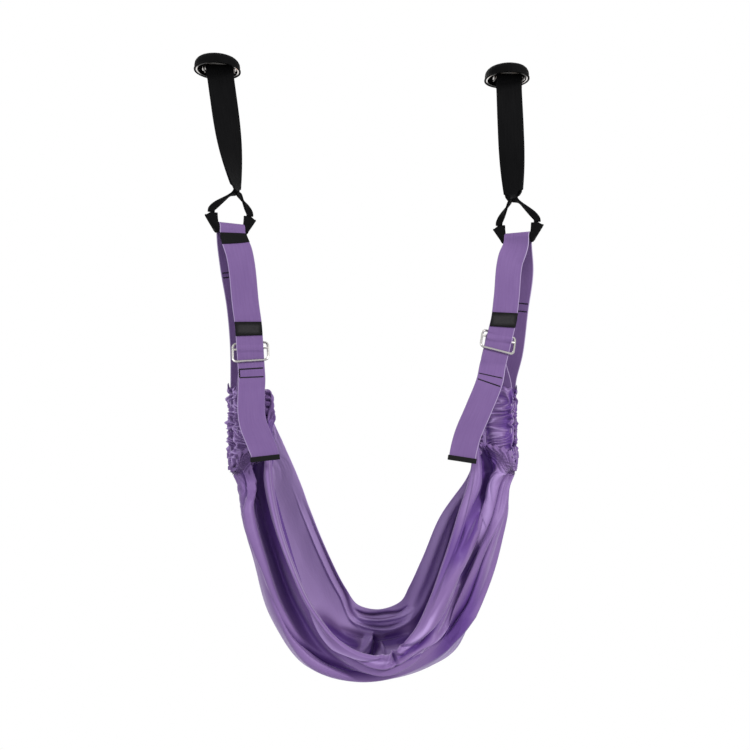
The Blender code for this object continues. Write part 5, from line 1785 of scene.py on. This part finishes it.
CREASES = tuple(Crease(*fold) for fold in (
    # The seat drawn up on the right of the pinch
    (((440, 520, 0), (490, 520, -3), (520, 510, -9), (550, 500, -17), (575, 500, -17), (597, 490, -7),
     (615, 480, 0)), 50, 60, 3.0),
    # Left arm: the valley beside the front hem, and the strip and groove on its outer side
    (((40, 150, -4), (120, 180, -13), (200, 200, -22), (260, 170, -22), (320, 110, -15), (380, 70, -7),
     (430, 50, 0)), 4, 24),
    (((40, 360, 3), (150, 355, 9), (200, 370, 11), (250, 440, 11), (300, 445, 9), (340, 420, 6),
     (420, 380, 0)), 9, 4),
    (((50, 440, -4), (150, 445, -8), (200, 455, -9), (250, 505, -8), (310, 520, -4), (360, 500, 0)), 3, 9),
    (((40, 560, 0), (130, 570, 5), (200, 590, 5), (280, 610, 0)), 4, 10),
    # Bottom, left of the pinch
    (((340, 100, 0), (372, 105, 5), (398, 110, 8), (427, 100, 8), (453, 60, 6), (490, 35, 0)), 12, 3),
    (((360, 150, 0), (400, 165, -6), (430, 160, -7), (460, 120, -5), (500, 100, 0)), 3, 11),
    (((340, 450, 0), (402, 400, -9), (430, 348, -12), (453, 330, -12), (480, 350, -10), (515, 360, 0)),
     4, 4),
    (((380, 460, 0), (430, 420, 6), (460, 400, 7), (500, 410, 4), (540, 420, 0)), 4.5, 12),
    # Right arm: the hem's line, the deep groove, the broad S band and the two bands beyond it
    (((600, 50, 0), (668, 62, 2), (725, 88, 2.5), (773, 86, 2.5), (840, 50, 0)), 2.2, 2.2),
    (((655, 40, 0), (680, 55, -5), (725, 135, -10), (765, 235, -14), (808, 315, -15), (860, 340, -11),
     (940, 330, -4)), 21, 3.6),
    (((530, 30, 0), (570, 60, 7), (600, 70, 8), (640, 100, 9), (680, 170, 10), (725, 260, 11),
     (770, 345, 11), (810, 400, 10), (880, 400, 7), (960, 380, 2)), 11, 11, 3.0),
    (((515, 50, 0), (527, 66, -9), (563, 150, -17), (600, 185, -14), (632, 220, -10), (660, 264, -7),
     (682, 305, -6), (733, 400, -6), (775, 460, -6), (820, 480, -6), (900, 470, -3)), 4.6, 4),
    (((515, 90, 0), (530, 100, 4), (552, 160, 8), (583, 260, 9), (632, 330, 9), (683, 400, 8), (727, 452, 7),
     (800, 520, 6), (900, 520, 0)), 5, 4),
    (((530, 170, 0), (547, 226, -6), (567, 278, -9), (605, 345, -10), (645, 420, -10), (685, 445, -10),
     (727, 475, -9), (790, 560, -6), (860, 560, 0)), 3.2, 3.2),
    (((550, 380, 0), (578, 430, 5), (617, 470, 7), (670, 510, 7), (727, 525, 6), (800, 600, 3),
     (880, 600, 0)), 6, 13),
    # Small folds squeezed below the pinch
    (((440, 100, 0), (480, 110, 5), (520, 110, 6), (560, 100, 0)), 3, 3),
    (((440, 150, 0), (490, 150, -6), (520, 150, -6), (560, 180, 0)), 2.6, 2.6),
    (((450, 200, 0), (490, 190, 6), (530, 200, 6), (570, 260, 0)), 3.4, 3.4),
    (((460, 260, 0), (500, 240, -5), (540, 260, -5), (580, 310, 0)), 3, 3),
    # The front hem pinched together, with short folds running out of it
    (((512, 0, -14), (512, 50, -12), (512, 100, -6), (513, 160, 0)), 4, 4),
    (((503, 0, 5), (500, 60, 5), (494, 120, 0)), 3.5, 3.5),
    (((521, 0, 6), (526, 50, 6), (538, 110, 3), (550, 160, 0)), 3.5, 3.5),
    (((530, 0, -7), (540, 50, -8), (556, 100, -5), (575, 150, 0)), 3.5, 3.5),
    (((492, 0, -5), (484, 40, -5), (470, 80, -3), (455, 120, 0)), 3, 3),
    # Inside of the back wall: its lip, the level folds below it and the leaf beside the pinch
    (((430, 965, 0), (455, 962, 8), (515, 972, 9), (545, 950, 8), (570, 950, 0)), 3, 3),
    (((440, 930, 0), (465, 932, -6), (512, 934, -7), (545, 920, -5), (570, 920, 0)), 3.5, 3.5),
    (((450, 900, 0), (480, 903, 6), (518, 895, 6), (550, 890, 0)), 2.6, 2.6),
    (((430, 905, 0), (455, 892, -7), (488, 880, -8), (518, 868, -7), (550, 870, 0)), 3.5, 3.5),
    (((430, 830, 0), (472, 838, 9), (515, 836, 9), (550, 820, 0)), 6, 6),
    (((487, 870, 0), (487, 850, -10), (488, 800, -16), (486, 760, -14), (480, 720, 0)), 12, 1.6),
    (((493, 850, 0), (493, 810, 12), (494, 760, 14), (490, 710, 0)), 3, 8),
    (((500, 820, 0), (503, 790, -8), (506, 760, -8), (508, 720, 0)), 3, 3),
    # Back hem and inner panel on the left, rolled edge and valley on the right
    (((200, 955, 0), (328, 955, -3), (393, 938, -3.5), (445, 890, -3), (470, 860, 0)), 2.2, 2.2),
    (((220, 980, 0), (330, 982, 6), (400, 970, 7), (440, 930, 5), (470, 900, 0)), 4, 4),
    (((400, 800, 0), (430, 800, 8), (460, 790, 10), (480, 780, 0)), 10, 10),
    (((520, 870, 0), (537, 874, -5), (582, 938, -7), (662, 956, -8), (750, 955, -7), (860, 950, 0)), 10, 10),
    (((520, 790, 0), (533, 796, 8), (555, 850, 11), (607, 870, 11), (660, 870, 10), (750, 870, 9),
     (860, 870, 0)), 8, 8),
))


# Painted shade and light on the cloth, in the same way: a number above 0 is darker, one below 0 is lighter
SHADES = tuple(Crease(*fold) for fold in (
    (((140, 280, 2), (220, 300, 9), (300, 280, 14), (380, 260, 14), (450, 280, 9), (520, 330, 0)), 26, 26),
    (((600, 60, 4), (640, 80, 12), (680, 150, 17), (725, 225, 20), (770, 305, 20), (810, 355, 20),
     (880, 360, 16), (960, 340, 8)), 34, 3),
    (((350, 100, 0), (398, 105, -12), (430, 95, -12), (460, 60, -8), (490, 40, 0)), 8, 3),
    (((560, 500, 0), (680, 560, 11), (800, 620, 13), (900, 620, 10), (970, 600, 0)), 20, 30),
    (((660, 230, 0), (700, 290, -8), (770, 400, -10), (830, 430, -10), (920, 420, -5)), 6, 6),
    (((630, 20, 0), (700, 40, -8), (800, 50, -8), (920, 50, -4)), 4, 6),
    (((30, 620, 3), (100, 620, 7), (200, 660, 8), (300, 660, 6), (380, 620, 0)), 30, 30),
    (((505, 20, 6), (527, 66, 15), (563, 150, 17), (600, 185, 13), (632, 220, 9), (700, 330, 4)), 6, 5),
    (((515, 100, 6), (545, 220, 12), (567, 278, 12), (605, 345, 10), (645, 420, 8), (700, 450, 0)), 3, 4),
    (((480, 150, 0), (500, 140, 12), (530, 150, 12), (560, 190, 0)), 2.4, 2.4),
    (((430, 90, 0), (470, 60, -9), (500, 50, -9), (530, 30, 0)), 3, 3),
    (((500, 20, 0), (530, 35, -12), (570, 70, -14), (610, 85, -8), (660, 140, 0)), 6, 4),
    (((520, 90, 0), (552, 165, -10), (583, 260, -9), (632, 330, -6), (700, 420, 0)), 3, 3),
    (((482, 850, 0), (481, 830, -18), (481, 790, -16), (478, 750, 0)), 7, 2),
    (((489, 860, 0), (490, 830, 22), (492, 780, 24), (489, 740, 10)), 2, 6),
    (((440, 915, 0), (470, 918, -8), (520, 915, -8), (550, 910, 0)), 3, 3),
    (((440, 940, 0), (470, 943, 9), (520, 940, 9), (550, 930, 0)), 2, 2),
    (((540, 410, 0), (575, 430, 16), (620, 440, 15), (700, 460, 0)), 28, 28),
    (((380, 790, 0), (430, 785, 16), (465, 780, 18), (482, 780, 0)), 20, 20),
    (((510, 840, 12), (560, 870, 10), (635, 880, 8), (720, 870, 6), (820, 870, 3)), 8, 6),
    (((530, 930, 0), (560, 930, -9), (635, 940, -9), (720, 935, -9), (820, 930, -6)), 10, 8),
    (((490, 810, 10), (510, 800, 18), (530, 800, 16), (550, 810, 0)), 11, 11),
))


@dataclass
class Hammock:
    """The gathered cloth between the two casings."""

    left: StrapLoop
    right: StrapLoop
    finishes: Finishes
    rows: int = 380
    columns: int = 400
    thickness: float = 0.0008
    slope_share: float = 0.4
    end_share: float = 0.02
    hem_steps: int = 14
    hem_turn: float = 0.35
    hem_drop: float = 0.55
    hem_ridge: float = 0.0011
    hem_ridge_places: tuple[float, float] = (0.42, 0.93)
    hem_ridge_width: float = 0.07
    gather_reach: float = 0.05
    gather_start: float = 0.003
    gather_pitch: float = 0.0128
    gather_height: float = 0.004
    small_gather_height: float = 0.0016
    wave_height: float = 0.0006
    # The back wall's inner face gets painted light; a fold lifted by full_depth gets full painted shade
    inner_share: float = 0.72
    inner_blend: float = 0.06
    inner_light: float = 0.75
    full_depth: float = 0.018

    # How wide the hem is at shares along the cloth
    HEM_SHARES = (0.0, 0.08, 0.3, 0.45, 0.55, 0.7, 0.92, 1.0)
    HEM_WIDTHS = (0.004, 0.019, 0.021, 0.014, 0.009, 0.009, 0.009, 0.004)

    def base_grid(self) -> np.ndarray:
        """Lay the cloth's smooth surface through its lengthwise lines.

        Returns:
            Its points, rows by columns by 3.
        """
        lines = [SmoothCurve([[value / 1000 for value in place] for place in places])
                 for places in zip(*CLOTH_FOLDS.values())]
        grid = np.zeros((self.rows + 1, self.columns + 1, 3))
        shares = row_shares(self.rows + 1)
        for column in range(self.columns + 1):
            across = column / self.columns
            edge_share = self.end_share + (1 - 2 * self.end_share) * across
            left_edge, left_lead = self.left.cloth_edge(edge_share)
            right_edge, right_lead = self.right.cloth_edge(edge_share)
            stations = [line.share(across) for line in lines]
            left_slope = left_lead.lerp(stations[0], self.slope_share)
            right_slope = right_lead.lerp(stations[-1], self.slope_share)
            curve = SmoothCurve([left_edge, left_lead, left_slope, *stations, right_slope, right_lead,
                                 right_edge])
            for row in range(self.rows + 1):
                grid[row, column] = curve.share(shares[row])
        return grid

    @staticmethod
    def lengths(grid: np.ndarray, axis: int) -> np.ndarray:
        """Measure along each line of a grid.

        Args:
            grid: The points.
            axis: 0 to measure along the cloth, 1 to measure across it.

        Returns:
            The length up to each point, in metres.
        """
        steps = np.linalg.norm(np.diff(grid, axis=axis), axis=2)
        zeros = np.zeros_like(np.take(steps, [0], axis=axis))
        return np.cumsum(np.concatenate([zeros, steps], axis=axis), axis=axis)

    def lift(self, grid: np.ndarray, normals: np.ndarray) -> np.ndarray:
        """Add up the drawn folds, the gathers at both ends and slight waves.

        Args:
            grid: The cloth's points.
            normals: Its unit normals.

        Returns:
            How far each point moves against its normal, in metres.
        """
        across = self.lengths(grid, 1)
        lengthwise = self.lengths(grid, 0)
        lift = np.zeros(grid.shape[:2])
        for crease in CREASES:
            crease.displace(grid, normals, lift)
        near = np.minimum(lengthwise, lengthwise[-1:, :] - lengthwise)
        gather = np.exp(-near / self.gather_reach) * np.minimum(near / self.gather_start, 1.0)
        phase = across / self.gather_pitch * 2 * math.pi
        drift = 1.6 * np.sin(across * 61 + near * 14) + near * 18
        lift += gather * self.gather_height * np.sin(phase + drift)
        lift += gather * self.small_gather_height * np.sin(phase * 1.83 + near * 40)
        long_wave = np.sin(across * 118 + 2.4 * np.sin(lengthwise * 3.1) + 0.6 * np.sin(across * 37))
        return lift + self.wave_height * long_wave * (0.3 + 0.7 * np.exp(-near / 0.3))

    def shade(self, grid: np.ndarray, normals: np.ndarray, lift: np.ndarray) -> np.ndarray:
        """Paint shade on the cloth: darker in folds, and painted light on the inner face of the back wall.

        Args:
            grid: The cloth's points.
            normals: Its unit normals.
            lift: How far each point moves against its normal.

        Returns:
            A shade from -1 to 1 for each point.
        """
        shares = np.linspace(0.0, 1.0, grid.shape[1])[None, :]
        inside = np.clip((shares - self.inner_share) / self.inner_blend + 0.5, 0.0, 1.0)
        paint = np.zeros(grid.shape[:2])
        for shade in SHADES:
            shade.displace(grid, normals, paint)
        depth = (np.where(shares > self.inner_share, lift, -lift) + paint) / self.full_depth
        depth = np.clip(depth, 0.0, 1.0)
        lit = np.clip(-paint / self.full_depth, 0.0, 1.0)
        return np.clip(depth - self.inner_light * inside * (1.0 - depth) - lit, -1.0, 1.0)

    def hem(self, grid: np.ndarray) -> np.ndarray:
        """Turn the front edge in, with two stitched ridges.

        Args:
            grid: The cloth's points.

        Returns:
            The points of the hem's columns, which come before the cloth's own.
        """
        inward = grid[:, -1] - grid[:, 0]
        inward /= np.linalg.norm(inward, axis=1, keepdims=True)
        outgoing = grid[:, 0] - grid[:, 6]
        outgoing /= np.linalg.norm(outgoing, axis=1, keepdims=True)
        width = np.interp(np.linspace(0.0, 1.0, grid.shape[0]), self.HEM_SHARES, self.HEM_WIDTHS)
        hem = np.zeros((grid.shape[0], self.hem_steps, 3))
        for column in range(self.hem_steps):
            reach = (self.hem_steps - column) / self.hem_steps
            rise = math.sin(math.pi * min(reach * 1.6, 1.0)) * self.hem_turn
            rise -= self.hem_drop * max(0.0, reach - 0.5)
            ridges = self.hem_ridge * sum(math.exp(-((reach - place) / self.hem_ridge_width) ** 2)
                                          for place in self.hem_ridge_places)
            hem[:, column] = (grid[:, 0] + inward * (width * reach)[:, None]
                              + outgoing * (width * rise * 0.5 + ridges)[:, None])
        return hem

    def build(self) -> list[str]:
        """Build the cloth as one thin sheet.

        Returns:
            Its name, in a list.
        """
        smooth = self.base_grid()
        normals = np.cross(np.gradient(smooth, axis=0), np.gradient(smooth, axis=1))
        normals /= np.maximum(np.linalg.norm(normals, axis=2, keepdims=True), 1e-12)
        lift = self.lift(smooth, normals)
        shade = self.shade(smooth, normals, lift)
        creased = smooth - normals * lift[:, :, None]
        grid = np.concatenate([self.hem(creased), creased], axis=1)
        uv = np.stack([self.lengths(grid, 0), self.lengths(grid, 1)], axis=-1)
        mesh = grid_mesh("gathered_cloth", grid, uv)
        set_shade(mesh, np.concatenate([np.zeros((grid.shape[0], self.hem_steps)), shade], axis=1))
        cloth = new_object("gathered_cloth", mesh, self.finishes.get(Finish.CLOTH))
        thicken(cloth, self.thickness, 0.0)
        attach(cloth, "hanging_sling")
        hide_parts("hammock")
        return [cloth.name]


@dataclass
class Studio:
    """The camera, the lights, the background and the floor."""

    camera_place: Point = (-0.09445, -1.45546, -0.596)
    camera_target: Point = (0.0206, 0.0, -0.596)
    lens: float = 36.5
    sensor: float = 36.0
    lit_place: Point = (0.02, 0.0, -0.75)
    soft_light: Rgb = (0.93, 0.94, 1.0)
    soft_strength: float = 0.58
    floor_z: float = -1.95
    floor_reach: float = 1.15
    floor_tones: tuple[Rgb, Rgb] = ((0.93, 0.93, 0.935), (0.95, 0.95, 0.95))
    floor_roughness: float = 0.9

    # Each light's name, place, size, power and colour
    LAMPS = (("key", (1.6, -2.1, 0.8), 0.6, 58.0, (1.0, 0.985, 0.97)),
             ("fill", (-1.7, -2.0, 0.5), 1.4, 24.0, (0.97, 0.96, 1.0)),
             ("back", (-0.6, 2.0, 1.1), 1.2, 22.0, (1.0, 1.0, 1.0)))

    @staticmethod
    def aim(obj: Object, place: Sequence[float], target: Sequence[float]) -> None:
        """Put an object in the scene, looking from a place to a target.

        Args:
            obj: The camera or light.
            place: Where it stands.
            target: The point that it faces.
        """
        bpy.context.scene.collection.objects.link(obj)
        look = (Vector(target) - Vector(place)).to_track_quat("-Z", "Y")
        obj.matrix_world = Matrix.Translation(place) @ look.to_matrix().to_4x4()

    def camera(self) -> None:
        """Set the level camera that stands before the product."""
        data = bpy.data.cameras.new("camera")
        data.lens = self.lens
        data.sensor_width = self.sensor
        camera = bpy.data.objects.new("camera", data)
        self.aim(camera, self.camera_place, self.camera_target)
        bpy.context.scene.camera = camera

    def lights(self) -> None:
        """Add the key, the fill and the back light, which are soft and face the product."""
        for name, place, size, power, colour in self.LAMPS:
            data = bpy.data.lights.new(name, "AREA")
            data.size = size
            data.energy = power
            data.color = colour
            self.aim(bpy.data.objects.new(name, data), place, self.lit_place)

    def world(self) -> None:
        """Light softly all round, and show plain white to the camera and in reflections."""
        world = bpy.data.worlds.new("studio")
        world.use_nodes = True
        world.node_tree.nodes.clear()
        graph = NodeGraph(world.node_tree)
        path = graph.add("LightPath")
        soft = graph.add("Background", {"Color": (*self.soft_light, 1.0),
                                                  "Strength": self.soft_strength})
        white = graph.add("Background", {"Color": (1.0, 1.0, 1.0, 1.0), "Strength": 1.0})
        seen = graph.math("ADD", path.outputs["Is Camera Ray"], path.outputs["Is Glossy Ray"])
        seen = graph.math("MINIMUM", graph.math("ADD", seen, path.outputs["Is Transmission Ray"]), 1.0)
        mix = graph.add("MixShader", {0: seen, 1: soft.outputs[0], 2: white.outputs[0]})
        graph.add("OutputWorld", {"Surface": mix.outputs[0]})
        bpy.context.scene.world = world

    def floor(self) -> None:
        """Lay the plain pale floor below the product."""
        mesh = bpy.data.meshes.new("floor")
        corners = [(x * self.floor_reach, y * self.floor_reach, self.floor_z)
                   for x, y in ((-1, -1), (1, -1), (1, 1), (-1, 1))]
        mesh.from_pydata(corners, [], [(0, 1, 2, 3)])
        material, graph, shader = Finishes.start("pale_floor")
        tone = graph.remap(graph.noise(graph.place("Object"), 3.0, 3.0), 0.3, 0.7)
        low, high = self.floor_tones
        graph.feed(shader, {"Base Color": graph.mix(tone, (*low, 1.0), (*high, 1.0)),
                            "Roughness": self.floor_roughness})
        new_object("floor", mesh, material)

    def build(self) -> None:
        """Set up the whole studio."""
        self.camera()
        self.lights()
        self.world()
        self.floor()
        bpy.context.scene.view_settings.view_transform = "Standard"


def report(stage: str, pieces: Iterable[str]) -> None:
    """Log each piece of a sub-assembly."""
    for piece in pieces:
        LOG.info("%s: %s", stage, piece)


def main() -> None:
    """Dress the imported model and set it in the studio."""
    logging.basicConfig(level=logging.INFO)
    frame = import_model()
    finishes = Finishes()
    hard_parts = HardParts(frame, finishes)
    straps = []
    for side in (LEFT, RIGHT):
        report("finished hard part", hard_parts.paint(side))
        report("sling", Suspension(side, finishes).build())
        straps.append(StrapLoop(side, finishes))
        report("strap", straps[-1].build())
        report("casing", Casing(straps[-1], finishes).build())
    report("cloth", Hammock(*straps, finishes).build())
    Studio().build()
    bpy.context.view_layer.update()


if __name__ == "__main__":
    main()
